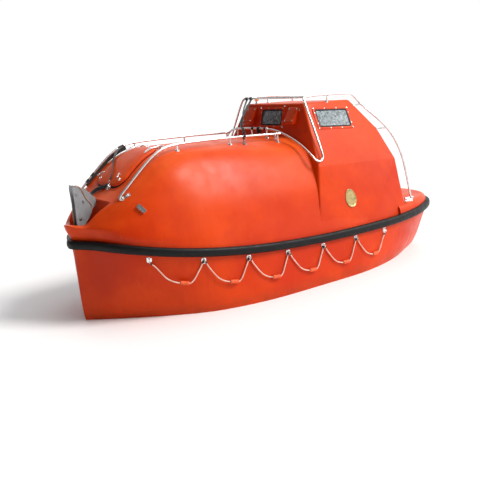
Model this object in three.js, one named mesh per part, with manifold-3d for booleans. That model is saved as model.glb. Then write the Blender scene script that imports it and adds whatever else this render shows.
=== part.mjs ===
// Enclosed lifeboat, 5 m long, in millimetres.
// X points to the bow, Y to port and Z up; the origin is on the waterline amidships.
import * as THREE from 'three';
import { mergeVertices } from 'three/addons/utils/BufferGeometryUtils.js';
import { ConvexGeometry } from 'three/addons/geometries/ConvexGeometry.js';
import Module from 'manifold-3d';

const wasm = await Module();
wasm.setup();

const V = (x, y, z) => new THREE.Vector3(x, y, z);
const RAD = Math.PI / 180;
const FULL_TURN = 2 * Math.PI;

// Driving dimensions
const GAP = 0.3;
const HULL_WALL = 45;
const CANOPY_WALL = 38;
const FLOOR_THICKNESS = 60;
const BAND = 55;
const FENDER = { height: 90, depth: 52 };
const RAIL_RADIUS = 12.5;
const POST_RADIUS = 9;
const ROPE_RADIUS = 7;
const EYE = { ring: 17, wire: 5, drop: 90, stand: 17 };
const FLOAT = { radius: 21, bore: 7.6, length: 98 };
const KEEL_Z = -560;
const SHAFT_Z = -355;
const PROPELLER = { x: -1775, radius: 152, hub: 28 };
const RUDDER = { x: -2070, front: -1985, back: -2290, thickness: 32 };
const HEEL_Z = -530;
const STERN_DECK_Z = 655;
const LID_CLEARANCE = 5;

// Loft tables, port half, from the stem to the stern.
// sheer x y z, waterline x y, bilge x y z, floor x y z
const HULL = [
  [2445, 0, 822, 2405, 0, 2300, 0, -280, 2080, 0, -430],
  [2335, 215, 815, 2300, 110, 2170, 60, -290, 1960, 30, -440],
  [2170, 545, 785, 2090, 320, 1960, 180, -300, 1800, 70, -455],
  [1850, 765, 718, 1780, 595, 1690, 380, -305, 1580, 120, -470],
  [1400, 925, 645, 1370, 885, 1330, 665, -300, 1280, 210, -480],
  [800, 1015, 578, 800, 1040, 800, 880, -290, 800, 320, -480],
  [0, 1050, 529, 0, 1072, 0, 950, -285, 0, 400, -480],
  [-800, 1050, 516, -800, 1045, -780, 890, -285, -750, 330, -475],
  [-1450, 995, 516, -1400, 885, -1340, 650, -260, -1250, 180, -420],
  [-1950, 865, 533, -1850, 665, -1760, 400, -150, -1680, 80, -190],
  [-2300, 660, 556, -2170, 490, -2090, 250, -60, -2020, 45, -90],
  [-2430, 360, 572, -2360, 320, -2320, 170, -30, -2290, 30, -50],
  [-2455, 0, 577, -2405, 0, -2395, 0, -25, -2380, 0, -45],
];
// station, low x y z, bend x y z, shoulder x y z, deck edge x y z, deck centre z
const CANOPY = [
  [0, 2492, 0, 960, 2505, 0, 1005, 2509, 0, 1028, 2510, 0, 1037, 1037],
  [1, 2372, 213, 945, 2392, 215, 985, 2398, 215, 1003, 2385, 190, 1018, 1032],
  [2, 2195, 532, 905, 2235, 475, 990, 2275, 360, 1060, 2290, 252, 1115, 1135],
  [3, 1880, 745, 865, 1950, 650, 1050, 2050, 510, 1195, 2080, 400, 1258, 1275],
  [4, 1430, 885, 855, 1520, 780, 1120, 1640, 575, 1460, 1660, 420, 1572, 1592],
  [4.5, 1130, 925, 850, 1200, 825, 1150, 1350, 560, 1575, 1420, 420, 1656, 1682],
  [5, 820, 955, 845, 860, 850, 1155, 900, 590, 1590, 960, 420, 1662, 1692],
  [6, 0, 980, 820, 0, 885, 1130, 60, 640, 1510, 60, 420, 1618, 1650],
  [7, -800, 975, 820, -800, 875, 1130, -800, 640, 1490, -800, 420, 1590, 1620],
];
// Tower corners on the port side
const TOWER = {
  roofFront: V(-395, 526, 1997),
  roofAft: V(-1113, 546, 1972),
  midAft: V(-1388, 725, 1602),
  creaseFront: V(-226, 894, 1296),
  creaseAft: V(-1512, 883, 1230),
  baseFront: V(-34, 1068, 500),
  baseMid: V(-800, 1075, 500),
  baseAft: V(-1615, 958, 500),
};

const MERGE_DISTANCE = 1e-3;

// A solid from a closed mesh, its faces turned outwards
function solid(geometry) {
  const bare = geometry.index ? geometry.toNonIndexed() : geometry.clone();
  bare.deleteAttribute('normal');
  bare.deleteAttribute('uv');
  const merged = mergeVertices(bare, MERGE_DISTANCE);
  const index = merged.index.array;
  const [outward, inward] = [[], []];
  for (let i = 0; i < index.length; i += 3) {
    const [a, b, c] = [index[i], index[i + 1], index[i + 2]];
    if (a === b || b === c || c === a) continue;
    outward.push(a, b, c);
    inward.push(b, a, c);
  }
  const build = (triangles) => new wasm.Manifold(new wasm.Mesh({
    numProp: 3,
    vertProperties: new Float32Array(merged.attributes.position.array),
    triVerts: new Uint32Array(triangles),
  }));
  const made = build(outward);
  return made.volume() > 0 ? made : build(inward);
}

function geometryOf(made) {
  const mesh = made.getMesh();
  const flat = [];
  for (const vertex of mesh.triVerts) {
    const at = vertex * mesh.numProp;
    flat.push(mesh.vertProperties[at], mesh.vertProperties[at + 1], mesh.vertProperties[at + 2]);
  }
  const geometry = new THREE.BufferGeometry();
  geometry.setAttribute('position', new THREE.Float32BufferAttribute(flat, 3));
  geometry.computeVertexNormals();
  return geometry;
}

const join = (...solids) => solids.reduce((all, one) => all.add(one));
const moved = (made, x, y, z) => made.translate([x, y, z]);
const mirrored = (made) => made.mirror([0, 1, 0]);
const onSide = (made, side) => (side > 0 ? made : mirrored(made));

// A solid moved out a hair each way, to trim its neighbours with a gap.
function grown(made) {
  const ways = [[0, 0, 1], [0, 0, -1], [1, 0, 0], [-1, 0, 0], [0, 1, 0], [0, -1, 0]];
  return join(made, ...ways.map(([x, y, z]) => made.translate([x * GAP, y * GAP, z * GAP])));
}

// A solid through rings of points: strips between neighbours and a fan on each end.
function loft(rings, closeEnds = true) {
  const flat = [];
  const face = (a, b, c) => flat.push(...a.toArray(), ...b.toArray(), ...c.toArray());
  const count = rings[0].length;
  for (let i = 0; i + 1 < rings.length; i++) {
    for (let j = 0; j < count; j++) {
      const [a, b] = [rings[i][j], rings[i][(j + 1) % count]];
      const [c, d] = [rings[i + 1][j], rings[i + 1][(j + 1) % count]];
      face(a, c, b);
      face(b, c, d);
    }
  }
  if (closeEnds) {
    for (const [ring, flip] of [[rings[0], false], [rings[rings.length - 1], true]]) {
      const centre = ring.reduce((sum, point) => sum.add(point), V(0, 0, 0)).divideScalar(count);
      for (let j = 0; j < count; j++) {
        const next = ring[(j + 1) % count];
        if (flip) face(centre, next, ring[j]);
        else face(centre, ring[j], next);
      }
    }
  }
  const geometry = new THREE.BufferGeometry();
  geometry.setAttribute('position', new THREE.Float32BufferAttribute(flat, 3));
  return solid(geometry);
}

function block(x0, x1, y0, y1, z0, z1) {
  const box = new THREE.BoxGeometry(x1 - x0, y1 - y0, z1 - z0);
  return solid(box.translate((x0 + x1) / 2, (y0 + y1) / 2, (z0 + z1) / 2));
}

function rod(from, to, radius, sides = 12) {
  const along = to.clone().sub(from);
  const cylinder = new THREE.CylinderGeometry(radius, radius, along.length(), sides);
  const turn = new THREE.Quaternion().setFromUnitVectors(V(0, 1, 0), along.clone().normalize());
  const middle = from.clone().add(to).divideScalar(2);
  return solid(cylinder.applyQuaternion(turn).translate(...middle.toArray()));
}

// A plate cut from a side view: points are x, z pairs, extruded from y0 to y1.
function sidePlate(points, y0, y1) {
  const shape = new THREE.Shape(points.map(([x, z]) => new THREE.Vector2(x, z)));
  const geometry = new THREE.ExtrudeGeometry(shape, { depth: y1 - y0, bevelEnabled: false });
  return solid(geometry.rotateX(Math.PI / 2).translate(0, y1, 0));
}

function roundedRectangle(width, height, radius) {
  const [w, h] = [width / 2, height / 2];
  const shape = new THREE.Shape();
  shape.absarc(w - radius, h - radius, radius, 0, Math.PI / 2);
  shape.absarc(radius - w, h - radius, radius, Math.PI / 2, Math.PI);
  shape.absarc(radius - w, radius - h, radius, Math.PI, 1.5 * Math.PI);
  shape.absarc(w - radius, radius - h, radius, 1.5 * Math.PI, 2 * Math.PI);
  return shape;
}

// A prism on a face: the shape's x runs along `across`, its y along `up`, depth along the normal.
function facePrism(shape, place, from, to) {
  const normal = place.across.clone().cross(place.up).normalize();
  const settings = { depth: to - from, bevelEnabled: false, curveSegments: 4 };
  const geometry = new THREE.ExtrudeGeometry(shape, settings);
  geometry.translate(0, 0, from);
  const basis = new THREE.Matrix4().makeBasis(place.across, place.up, normal);
  return solid(geometry.applyMatrix4(basis).translate(...place.centre.toArray()));
}

// A bent tube along a route; the samples fall exactly on the route's own points.
class Route extends THREE.Curve {
  constructor(points) {
    super();
    this.points = points;
  }

  getPoint(t, target = new THREE.Vector3()) {
    const at = Math.min(t * (this.points.length - 1), this.points.length - 1);
    const low = Math.min(Math.floor(at), this.points.length - 2);
    return target.lerpVectors(this.points[low], this.points[low + 1], at - low);
  }

  getPointAt(u, target) {
    return this.getPoint(u, target);
  }

  getTangentAt(u, target = new THREE.Vector3()) {
    const step = 1 / (this.points.length - 1);
    const ahead = this.getPoint(Math.min(1, u + step / 2));
    const behind = this.getPoint(Math.max(0, u - step / 2));
    return target.subVectors(ahead, behind).normalize();
  }
}

function polygon(radius, sides) {
  const points = [];
  for (let i = 0; i < sides; i++) {
    const angle = (i + 0.5) * FULL_TURN / sides;
    points.push(new THREE.Vector2(radius * Math.cos(angle), radius * Math.sin(angle)));
  }
  return new THREE.Shape(points);
}

function tube(points, radius, sides = 8) {
  const settings = { steps: points.length - 1, bevelEnabled: false, extrudePath: new Route(points) };
  return solid(new THREE.ExtrudeGeometry(polygon(radius, sides), settings));
}

const smooth = (points, perSpan) => new THREE.CatmullRomCurve3(points, false, 'centripetal')
  .getPoints((points.length - 1) * perSpan);

// Sampling of the loft tables
const PER_STATION = 3;
const LAST_STATION = HULL.length - 1;

// Interpolates a column of points along the stations; a blunt end is met square to the centreline.
function column(points, bluntBow, bluntStern) {
  const across = (point) => V(point.x, -point.y, point.z);
  const line = points.slice();
  if (bluntBow) line.unshift(across(points[1]));
  if (bluntStern) line.push(across(points[points.length - 2]));
  const curve = new THREE.CatmullRomCurve3(line, false, 'centripetal');
  const offset = bluntBow ? 1 : 0;
  return (index) => curve.getPoint((index + offset) / (line.length - 1));
}

const pick = (row, at) => V(row[at], row[at + 1], row[at + 2]);
const sheerColumn = column(HULL.map((row) => pick(row, 0)), true, true);
const hullColumns = [
  column(HULL.map((row) => V(row[3], row[4], 0)), false, false),
  column(HULL.map((row) => pick(row, 5)), false, false),
  column(HULL.map((row) => pick(row, 8)), false, false),
];
const canopyColumns = [1, 4, 7, 10].map((at) => column(CANOPY.map((row) => pick(row, at)), true, false));
const deckCentre = column(CANOPY.map((row) => V(row[10], 0, row[13])), false, false);

// The sheer at a station, moved outwards in plan.
function sheer(station, outwards = 0) {
  const point = sheerColumn(station);
  const step = 0.01;
  const ahead = sheerColumn(Math.min(station + step, LAST_STATION));
  const behind = sheerColumn(Math.max(station - step, 0));
  const along = ahead.sub(behind);
  const normal = V(-along.y, along.x, 0).normalize().negate();
  if (station <= step) normal.set(1, 0, 0);
  if (station >= LAST_STATION - step) normal.set(-1, 0, 0);
  if (normal.y < 0) normal.negate();
  return point.addScaledVector(normal, outwards);
}

function stations(from, to) {
  const list = [];
  for (let i = from * PER_STATION; i <= to * PER_STATION; i++) list.push(i / PER_STATION);
  return list;
}

// A full ring from its port half, which runs towards the centreline.
const wholeRing = (half) => [...half, ...half.slice().reverse().map((p) => V(p.x, -p.y, p.z))];

function hullHalf(station) {
  const top = sheer(station);
  const side = [top.clone().setZ(top.z - BAND), ...hullColumns.map((at) => at(station))];
  const curved = smooth(side, 2);
  const centre = side[side.length - 1].clone().setY(0).add(V(0, 0, -8));
  return [top, ...curved, centre];
}

const hullOuter = loft(stations(0, LAST_STATION).map((s) => wholeRing(hullHalf(s))), false);

// The cabin space inside the hull: a wall thinner all round, flat above the thick floor, open at the top.
function hullSpace() {
  const rings = stations(2, 9).map((s) => {
    const inside = hullHalf(s).map((p) => V(p.x, Math.max(p.y - HULL_WALL, 0), p.z));
    inside[0].z += 200;
    const floor = inside[inside.length - 2].z + FLOOR_THICKNESS;
    return wholeRing(inside.map((p, i) => (i < 2 ? p : p.setZ(Math.max(p.z, floor)))));
  });
  return loft(rings);
}

function canopyIndex(station) {
  const row = CANOPY.findIndex((_, i) => i + 1 < CANOPY.length && station <= CANOPY[i + 1][0]);
  return row + (station - CANOPY[row][0]) / (CANOPY[row + 1][0] - CANOPY[row][0]);
}

function canopyHalf(station) {
  const base = sheer(station);
  const index = canopyIndex(station);
  const [low, bend, shoulder, edge] = canopyColumns.map((at) => at(index));
  const band = base.clone().setZ(base.z + BAND);
  const curved = smooth([band, low, bend, shoulder, edge], 2);
  const centre = deckCentre(index);
  const crown = edge.clone().lerp(centre, 0.5).setZ(edge.z + 0.75 * (centre.z - edge.z));
  return [base.setZ(base.z + GAP), ...curved, crown, centre];
}

const foreOuter = loft(stations(0, 7).map((s) => wholeRing(canopyHalf(s))));

// Well for the bow hook, in plan: x, y of its port corners
const WELL = { floor: 885, corners: [[2455, 0], [2362, 182], [2315, 232], [2125, 305]] };

function bowWell() {
  const port = WELL.corners.map(([x, y]) => new THREE.Vector2(x, y));
  const starboard = WELL.corners.slice(1).reverse().map(([x, y]) => new THREE.Vector2(x, -y));
  const shape = new THREE.Shape([...port, ...starboard]);
  const geometry = new THREE.ExtrudeGeometry(shape, { depth: 600, bevelEnabled: false });
  return solid(geometry.translate(0, 0, WELL.floor));
}

// The space inside the fore body, aft of the well's bulkhead
function foreSpace() {
  const lowest = 560;
  const rings = stations(2, 7).map((s) => wholeRing(canopyHalf(s).map((p, i) => (
    V(p.x, Math.max(p.y - CANOPY_WALL, 0), i === 0 ? p.z - 100 : Math.max(p.z - CANOPY_WALL, lowest))
  ))));
  const bulkhead = WELL.corners[3][0] - 50;
  return loft(rings).subtract(block(bulkhead, 3000, -1200, 1200, 300, 2400));
}

// The helm tower through its corners, shrunk about its middle for the space inside.
function towerSolid(shrink) {
  const middle = -880;
  const points = [];
  for (const corner of Object.values(TOWER)) {
    const x = middle + (corner.x - middle) * shrink.length;
    const z = corner.z > 600 ? corner.z - shrink.roof : corner.z - 60;
    points.push(V(x, corner.y * shrink.width, z), V(x, -corner.y * shrink.width, z));
  }
  return solid(new ConvexGeometry(points));
}

// Everything above the joint, inside the outline of the sheer.
function aboveJoint() {
  return loft(stations(0, LAST_STATION).map((s) => {
    const p = sheer(s);
    return [V(p.x, p.y, p.z + GAP), V(p.x, p.y, 3000), V(p.x, -p.y, 3000), V(p.x, -p.y, p.z + GAP)];
  }), false);
}

// The low deck behind the tower, rising a little towards the stern
function sternDeck() {
  const rings = stations(7, LAST_STATION).map((s) => {
    const base = sheer(s);
    const rise = STERN_DECK_Z + 0.02 * Math.max(0, -1500 - base.x);
    const half = [
      base.clone().setZ(base.z + GAP),
      base.clone().setZ(base.z + BAND),
      sheer(s, -14).setZ(rise - 26),
      sheer(s, -44).setZ(rise),
    ];
    const centre = half[3].clone().setY(0).setZ(rise + 12);
    return wholeRing([...half, centre]);
  });
  return loft(rings).subtract(block(-1440, 500, -1300, 1300, 300, 1000));
}

// Places on the tower's faces: the window's shape is laid on the plane through its face.
const TOWER_FRONT = {
  centre: V(-358, 0, 1835),
  across: V(0, 1, 0),
  up: V(-0.2343, 0, 0.9722),
};
const TOWER_SIDE = {
  centre: V(-745, 633, 1788),
  across: V(-0.9965, 0.0371, -0.075),
  up: V(-0.0837, -0.4414, 0.8934),
};
const TOWER_AFT_HIGH = {
  centre: V(-1251, 0, 1787),
  across: V(0, -1, 0),
  up: V(0.5966, 0, 0.8026),
};
const TOWER_AFT_LOW = {
  centre: V(-1551, 0, 955),
  across: V(0, -1, 0),
  up: V(0.1397, 0, 0.9902),
};

// Forward hatch: hinge at the deck's brow, lid on the slope
const BROW = { x: 1392, z: 1672 };
const LID = { width: 540, length: 640, radius: 90, thickness: 42 };
const slopeDown = V(1965 - BROW.x, 0, 1338 - BROW.z).normalize();
const LID_PLACE = {
  centre: V(BROW.x, 0, BROW.z).addScaledVector(slopeDown, LID.length / 2 + 20),
  across: V(0, 1, 0),
  up: slopeDown.clone().negate(),
};
const LID_NORMAL = LID_PLACE.across.clone().cross(LID_PLACE.up).normalize();
if (LID_NORMAL.z < 0) {
  LID_PLACE.across.negate();
  LID_NORMAL.negate();
}
const LID_AXIS = V(BROW.x - 14, 0, BROW.z + 34);
const LID_HINGE = { y: 165, length: 60, radius: 11, ear: 12 };

// Aft hatch: hinge line at its starboard edge
const DOOR = { width: 500, height: 460, radius: 60, thickness: 34, hingeY: -282, stand: 26 };
const DOOR_NORMAL = V(-0.9902, 0, 0.1397);

function windowParts(place, width, height, frame, radius = 26) {
  const outer = roundedRectangle(width + 2 * frame, height + 2 * frame, radius + frame);
  const hole = roundedRectangle(width, height, radius);
  const glass = roundedRectangle(width - 2 * GAP, height - 2 * GAP, radius - GAP);
  return {
    frame: facePrism(outer, place, -30, 12),
    hole: facePrism(hole, place, -140, 60),
    pane: facePrism(glass, place, -2, 6),
  };
}

const windows = {
  front: windowParts(TOWER_FRONT, 370, 190, 26),
  port: windowParts(TOWER_SIDE, 500, 225, 32),
  aft: windowParts(TOWER_AFT_HIGH, 460, 230, 30),
};

// Hinge ears stand on the canopy at each end of a barrel.
function lidEars() {
  const ears = [];
  for (const side of [-1, 1]) {
    for (const end of [-1, 1]) {
      const near = side * LID_HINGE.y + end * (LID_HINGE.length / 2 + GAP);
      const far = near + end * LID_HINGE.ear;
      const [y0, y1] = [Math.min(near, far), Math.max(near, far)];
      const { x, z } = LID_AXIS;
      const profile = [[x - 34, z - 80], [x + 16, z - 80], [x + 14, z + 12], [x - 14, z + 12]];
      ears.push(sidePlate(profile, y0, y1));
    }
  }
  return join(...ears);
}

// A point in the aft hatch's own frame: to port, up the slope and out of the face
function doorPoint(u, v, out) {
  return TOWER_AFT_LOW.centre.clone()
    .addScaledVector(V(0, 1, 0), u)
    .addScaledVector(TOWER_AFT_LOW.up, v)
    .addScaledVector(DOOR_NORMAL, out);
}

const DOOR_HINGE = { at: [-150, 150], half: 30, radius: 9, ear: 12 };
const DOOR_HINGE_PLACE = {
  centre: doorPoint(DOOR.hingeY, 0, 0), across: V(0, -1, 0), up: TOWER_AFT_LOW.up,
};

function rectangle(x0, x1, y0, y1) {
  const corners = [[x0, y0], [x1, y0], [x1, y1], [x0, y1]];
  return new THREE.Shape(corners.map(([x, y]) => new THREE.Vector2(x, y)));
}

function doorEars() {
  const ears = [];
  for (const v of DOOR_HINGE.at) {
    for (const low of [v - DOOR_HINGE.half - GAP - DOOR_HINGE.ear, v + DOOR_HINGE.half + GAP]) {
      const shape = rectangle(-12, 34, low, low + DOOR_HINGE.ear);
      ears.push(facePrism(shape, DOOR_HINGE_PLACE, -30, DOOR.stand + 10));
    }
  }
  return join(...ears);
}

// Each hole is smaller than its lid by the rim that the lid covers.
const LID_RIM = 55;
const DOOR_RIM = 45;
const lidHoleShape = roundedRectangle(LID.width - 2 * LID_RIM, LID.length - 2 * LID_RIM, 60);
const doorHoleShape = roundedRectangle(DOOR.width - 2 * DOOR_RIM, DOOR.height - 2 * DOOR_RIM, 40);
const lidHole = facePrism(lidHoleShape, LID_PLACE, -260, 160);
const doorHole = facePrism(doorHoleShape, TOWER_AFT_LOW, -140, 60);

const tower = towerSolid({ length: 1, width: 1, roof: 0 }).intersect(aboveJoint());
const towerSpace = towerSolid({ length: 0.945, width: 0.957, roof: CANOPY_WALL });
const canopyOuter = join(foreOuter, tower, sternDeck());
const canopyShell = join(
  canopyOuter, windows.front.frame, windows.port.frame, mirrored(windows.port.frame), windows.aft.frame,
  lidEars(), doorEars(),
)
  .subtract(join(foreSpace(), towerSpace))
  .subtract(bowWell())
  .subtract(join(windows.front.hole, windows.port.hole, mirrored(windows.port.hole), windows.aft.hole))
  .subtract(join(lidHole, doorHole));

// Hull with the boss for the rudder under its stern and the eyes for the lifelines
const EYE_X = [1979, 1467, 955, 443, -69, -581, -1093];

// Station whose sheer lies at a given x.
function stationAt(x) {
  let [low, high] = [0, LAST_STATION];
  for (let i = 0; i < 40; i++) {
    const middle = (low + high) / 2;
    if (sheerColumn(middle).x > x) low = middle;
    else high = middle;
  }
  return low;
}

// The hull's side at a station and a height, moved outwards in plan.
function skin(station, z, outwards = 0) {
  const half = hullHalf(station);
  const below = half.findIndex((p) => p.z <= z);
  const [a, b] = [half[below - 1], half[below]];
  const point = a.clone().lerp(b, (a.z - z) / (a.z - b.z));
  const normal = sheer(station, 1).sub(sheer(station)).setZ(0);
  return point.addScaledVector(normal, outwards);
}

const eyePlace = (x) => {
  const station = stationAt(x);
  return skin(station, sheer(station).z - EYE.drop, EYE.stand);
};

function eyeRing(x) {
  const ring = new THREE.TorusGeometry(EYE.ring, EYE.wire, 5, 8);
  return solid(ring.rotateY(Math.PI / 2).rotateZ(eyeTurn(x)).translate(...eyePlace(x).toArray()));
}

const eyeTurn = (x) => {
  const ahead = sheer(stationAt(x + 20));
  const behind = sheer(stationAt(x - 20));
  return Math.atan2(ahead.y - behind.y, ahead.x - behind.x);
};

const eyes = join(...EYE_X.map(eyeRing));
const rudderBoss = rod(V(RUDDER.x, 0, 40), V(RUDDER.x, 0, -112), 34, 20);
const hullShell = join(hullOuter.subtract(hullSpace()), eyes, mirrored(eyes), rudderBoss);

// Fender: a D section all round the sheer
function fenderSolid() {
  const [h, d] = [FENDER.height / 2, FENDER.depth];
  const section = [
    [GAP, -h], [d * 0.62, -h], [d * 0.9, -h * 0.62], [d, 0], [d * 0.9, h * 0.62], [d * 0.62, h], [GAP, h],
  ];
  const rings = [];
  const place = (s, side) => section.map(([out, up]) => {
    const p = sheer(s, out);
    return V(p.x, side * p.y, p.z + up);
  });
  for (const s of stations(0, LAST_STATION)) rings.push(place(s, 1));
  for (const s of stations(0, LAST_STATION).reverse().slice(1)) rings.push(place(s, -1));
  return loft(rings, false);
}

// Skeg with keel bar, stern tube and heel
const SKEG = [
  [1750, -380], [1500, -520], [1350, KEEL_Z], [RUDDER.x - 45, KEEL_Z], [RUDDER.x - 45, HEEL_Z],
  [-1665, HEEL_Z], [-1640, -300], [-1640, -120], [0, -380],
];
const skegSolid = join(
  sidePlate(SKEG, -32, 32),
  rod(V(-1500, 0, SHAFT_Z), V(PROPELLER.x + 50, 0, SHAFT_Z), 34, 16),
).subtract(moved(hullOuter, 0, 0, -GAP)).subtract(moved(rudderBoss, 0, 0, -GAP));

const BLADE = { thickness: 9, pitch: 58 };

function propellerSolid() {
  const { x, radius, hub } = PROPELLER;
  const profile = [[0, -65], [hub * 0.5, -58], [hub, -20], [hub, 50 - GAP], [0, 50 - GAP]];
  const body = new THREE.LatheGeometry(profile.map(([r, a]) => new THREE.Vector2(r, a)), 16);
  const parts = [solid(body.rotateZ(-Math.PI / 2).translate(x, 0, SHAFT_Z))];
  const blade = new THREE.Shape();
  blade.absellipse(0, radius * 0.56, radius * 0.36, radius * 0.44, 0, FULL_TURN);
  for (let i = 0; i < 3; i++) {
    const settings = { depth: BLADE.thickness, bevelEnabled: false, curveSegments: 10 };
    const plate = new THREE.ExtrudeGeometry(blade, settings).translate(0, 0, -BLADE.thickness / 2);
    plate.rotateY(BLADE.pitch * RAD).rotateX((90 + i * 120) * RAD);
    parts.push(solid(plate.translate(x, 0, SHAFT_Z)));
  }
  return join(...parts);
}

function rudderSolid() {
  const half = RUDDER.thickness / 2;
  const blade = sidePlate([
    [RUDDER.front, -500], [RUDDER.front, -170], [RUDDER.x + 40, -150], [RUDDER.back, -130],
    [RUDDER.back, -440], [RUDDER.back + 70, -500],
  ], -half, half);
  const stock = rod(V(RUDDER.x, 0, -112 - GAP), V(RUDDER.x, 0, HEEL_Z + GAP), 19, 20);
  return join(blade, stock);
}

// The forward lid follows the slope beneath it, one clearance above.
function lidSolid() {
  const band = facePrism(roundedRectangle(LID.width, LID.length, LID.radius), LID_PLACE, -120, 200);
  const raised = (d) => foreOuter.translate(LID_NORMAL.clone().multiplyScalar(d).toArray());
  const { x, z } = LID_AXIS;
  const parts = [raised(LID_CLEARANCE + LID.thickness).intersect(band)];
  for (const side of [-1, 1]) {
    const y0 = side * LID_HINGE.y - LID_HINGE.length / 2;
    const y1 = y0 + LID_HINGE.length;
    parts.push(rod(V(x, y0, z), V(x, y1, z), LID_HINGE.radius, 14));
    parts.push(sidePlate([[x, z + 10], [x, z - 2], [x + 90, z - 55], [x + 110, z - 35]], y0, y1));
  }
  return join(...parts).subtract(raised(LID_CLEARANCE));
}

function doorSolid() {
  const shape = roundedRectangle(DOOR.width, DOOR.height, DOOR.radius);
  const parts = [facePrism(shape, TOWER_AFT_LOW, LID_CLEARANCE, LID_CLEARANCE + DOOR.thickness)];
  for (const v of DOOR_HINGE.at) {
    const [low, high] = [v - DOOR_HINGE.half, v + DOOR_HINGE.half];
    const ends = [low, high].map((at) => doorPoint(DOOR.hingeY, at, DOOR.stand));
    parts.push(rod(ends[0], ends[1], DOOR_HINGE.radius, 14));
    parts.push(facePrism(rectangle(-60, 0, low, high), DOOR_HINGE_PLACE, DOOR.stand - 5, DOOR.stand + 5));
  }
  return join(...parts);
}

// Air cowls on the tower front
function cowlSolid(side) {
  const y0 = side > 0 ? 300 : -460;
  const profile = [[-389, 1955], [-372, 1955], [-262, 1790], [-262, 1758], [-345, 1770], [-362, 1835]];
  return sidePlate(profile, y0, y0 + 160).subtract(moved(canopyOuter, GAP, 0, 0));
}

// Handrails over the fore body, port side
const HANDRAIL = [
  [2086, 418, 1266], [2070, 420, 1295], [1964, 425, 1390], [1762, 425, 1560],
  [1660, 425, 1634], [1560, 425, 1688], [1460, 425, 1717], [1334, 425, 1730],
  [768, 432, 1722], [176, 455, 1696], [-50, 478, 1684],
];
const POSTS_X = [1334, 643, -14];

function along(points, x) {
  const after = points.findIndex((p) => p[0] <= x);
  const [a, b] = [points[after - 1], points[after]];
  const t = (x - a[0]) / (b[0] - a[0]);
  return V(x, a[1] + t * (b[1] - a[1]), a[2] + t * (b[2] - a[2]));
}

function handrailSolid(side) {
  const parts = [tube(smooth(HANDRAIL.map((p) => V(...p)), 2), RAIL_RADIUS)];
  for (const x of POSTS_X) {
    const top = along(HANDRAIL, x);
    parts.push(rod(top, V(top.x, top.y, top.z - 140), POST_RADIUS, 8));
    parts.push(rod(V(top.x, top.y, top.z - 62), V(top.x, top.y, top.z - 140), 24, 12));
  }
  const foot = V(...HANDRAIL[0]);
  parts.push(rod(foot.clone().add(V(10, 0, -6)), foot.clone().add(V(-30, 0, -60)), 27, 12));
  return onSide(join(...parts), side).subtract(canopyGrown).subtract(grown(towerRail));
}

// Each handrail is joined end to end from four lengths, cut at these x.
const RAIL_CUTS = [1660, 1290, 680];

function railLengths(whole) {
  const [fore, brow, mid] = RAIL_CUTS;
  const between = (low, high) => whole.intersect(block(low, high, -1200, 1200, 1000, 2000));
  return {
    fore: between(fore + GAP / 2, 2200),
    brow: between(brow + GAP / 2, fore - GAP / 2),
    mid: between(mid + GAP / 2, brow - GAP / 2),
    aft: between(-200, mid - GAP / 2),
  };
}

// Tower rail: one pipe from the port stern foot over the tower to the starboard one
const TOWER_RAIL = [
  [-1600, 935, 690], [-1640, 950, 688], [-1684, 952, 712], [-1680, 945, 770],
  [-1613, 880, 1291], [-1500, 780, 1593], [-1254, 602, 1906], [-1175, 552, 2020],
  [-1140, 548, 2036], [-420, 548, 2064], [-378, 552, 2050], [-366, 580, 2006],
  [-318, 868, 1440], [-305, 886, 1385], [-255, 893, 1358], [-208, 880, 1374],
  [-186, 835, 1428], [-160, 750, 1512], [-120, 620, 1610], [-70, 490, 1684],
  [-42, 380, 1722], [-30, 200, 1738], [-28, 0, 1742],
];
// Brackets from the rail to the tower on the port side: x y z of both ends
const RAIL_BRACKETS = [
  [-1254, 602, 1906, -1120, 540, 1890],
  [-1500, 780, 1593, -1340, 690, 1600],
  [-760, 548, 2050, -760, 520, 1960],
];
const ROOF_BAR = { x: -396, y: 548, z: 2064 };
const ARCH_POSTS = [270, 0, -270];

function towerRailSolid() {
  const port = TOWER_RAIL.map((p) => V(...p));
  const starboard = TOWER_RAIL.slice(0, -1).reverse().map(([x, y, z]) => V(x, -y, z));
  const parts = [tube(smooth([...port, ...starboard], 2), RAIL_RADIUS)];
  const { x, y, z } = ROOF_BAR;
  parts.push(rod(V(x, -y, z), V(x, y, z), RAIL_RADIUS, 10));
  for (const at of ARCH_POSTS) parts.push(rod(V(-30, at, 1738), V(-30, at, 1560), POST_RADIUS, 8));
  for (const row of RAIL_BRACKETS) {
    const bracket = rod(V(...row.slice(0, 3)), V(...row.slice(3)), POST_RADIUS, 8);
    parts.push(bracket, mirrored(bracket));
  }
  return join(...parts).subtract(canopyGrown);
}

// The tower rail is joined end to end from seven lengths, cut at these x and on the centreline.
const TOWER_RAIL_CUTS = [-230, -430, -1150];

function towerRailLengths(whole) {
  const [front, roof, aft] = TOWER_RAIL_CUTS;
  const wide = 1200;
  const length = (x0, x1, y0, y1) => whole.intersect(
    block(x0 + GAP / 2, x1 - GAP / 2, y0 + GAP / 2, y1 - GAP / 2, 500, 2200));
  const lengths = { arch: length(front, 200, -wide, wide) };
  for (const [side, y0, y1] of [['port', 0, wide], ['starboard', -wide, 0]]) {
    lengths[`${side}_front`] = length(roof, front, y0, y1);
    lengths[`${side}_roof`] = length(aft, roof, y0, y1);
    lengths[`${side}_aft`] = length(-1800, aft, y0, y1);
  }
  return lengths;
}

// The canopy's outer form, that trims what stands on it
const canopyShellBlank = canopyOuter.subtract(bowWell());
const canopyGrown = grown(canopyShellBlank);
const towerRail = towerRailSolid();

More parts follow.
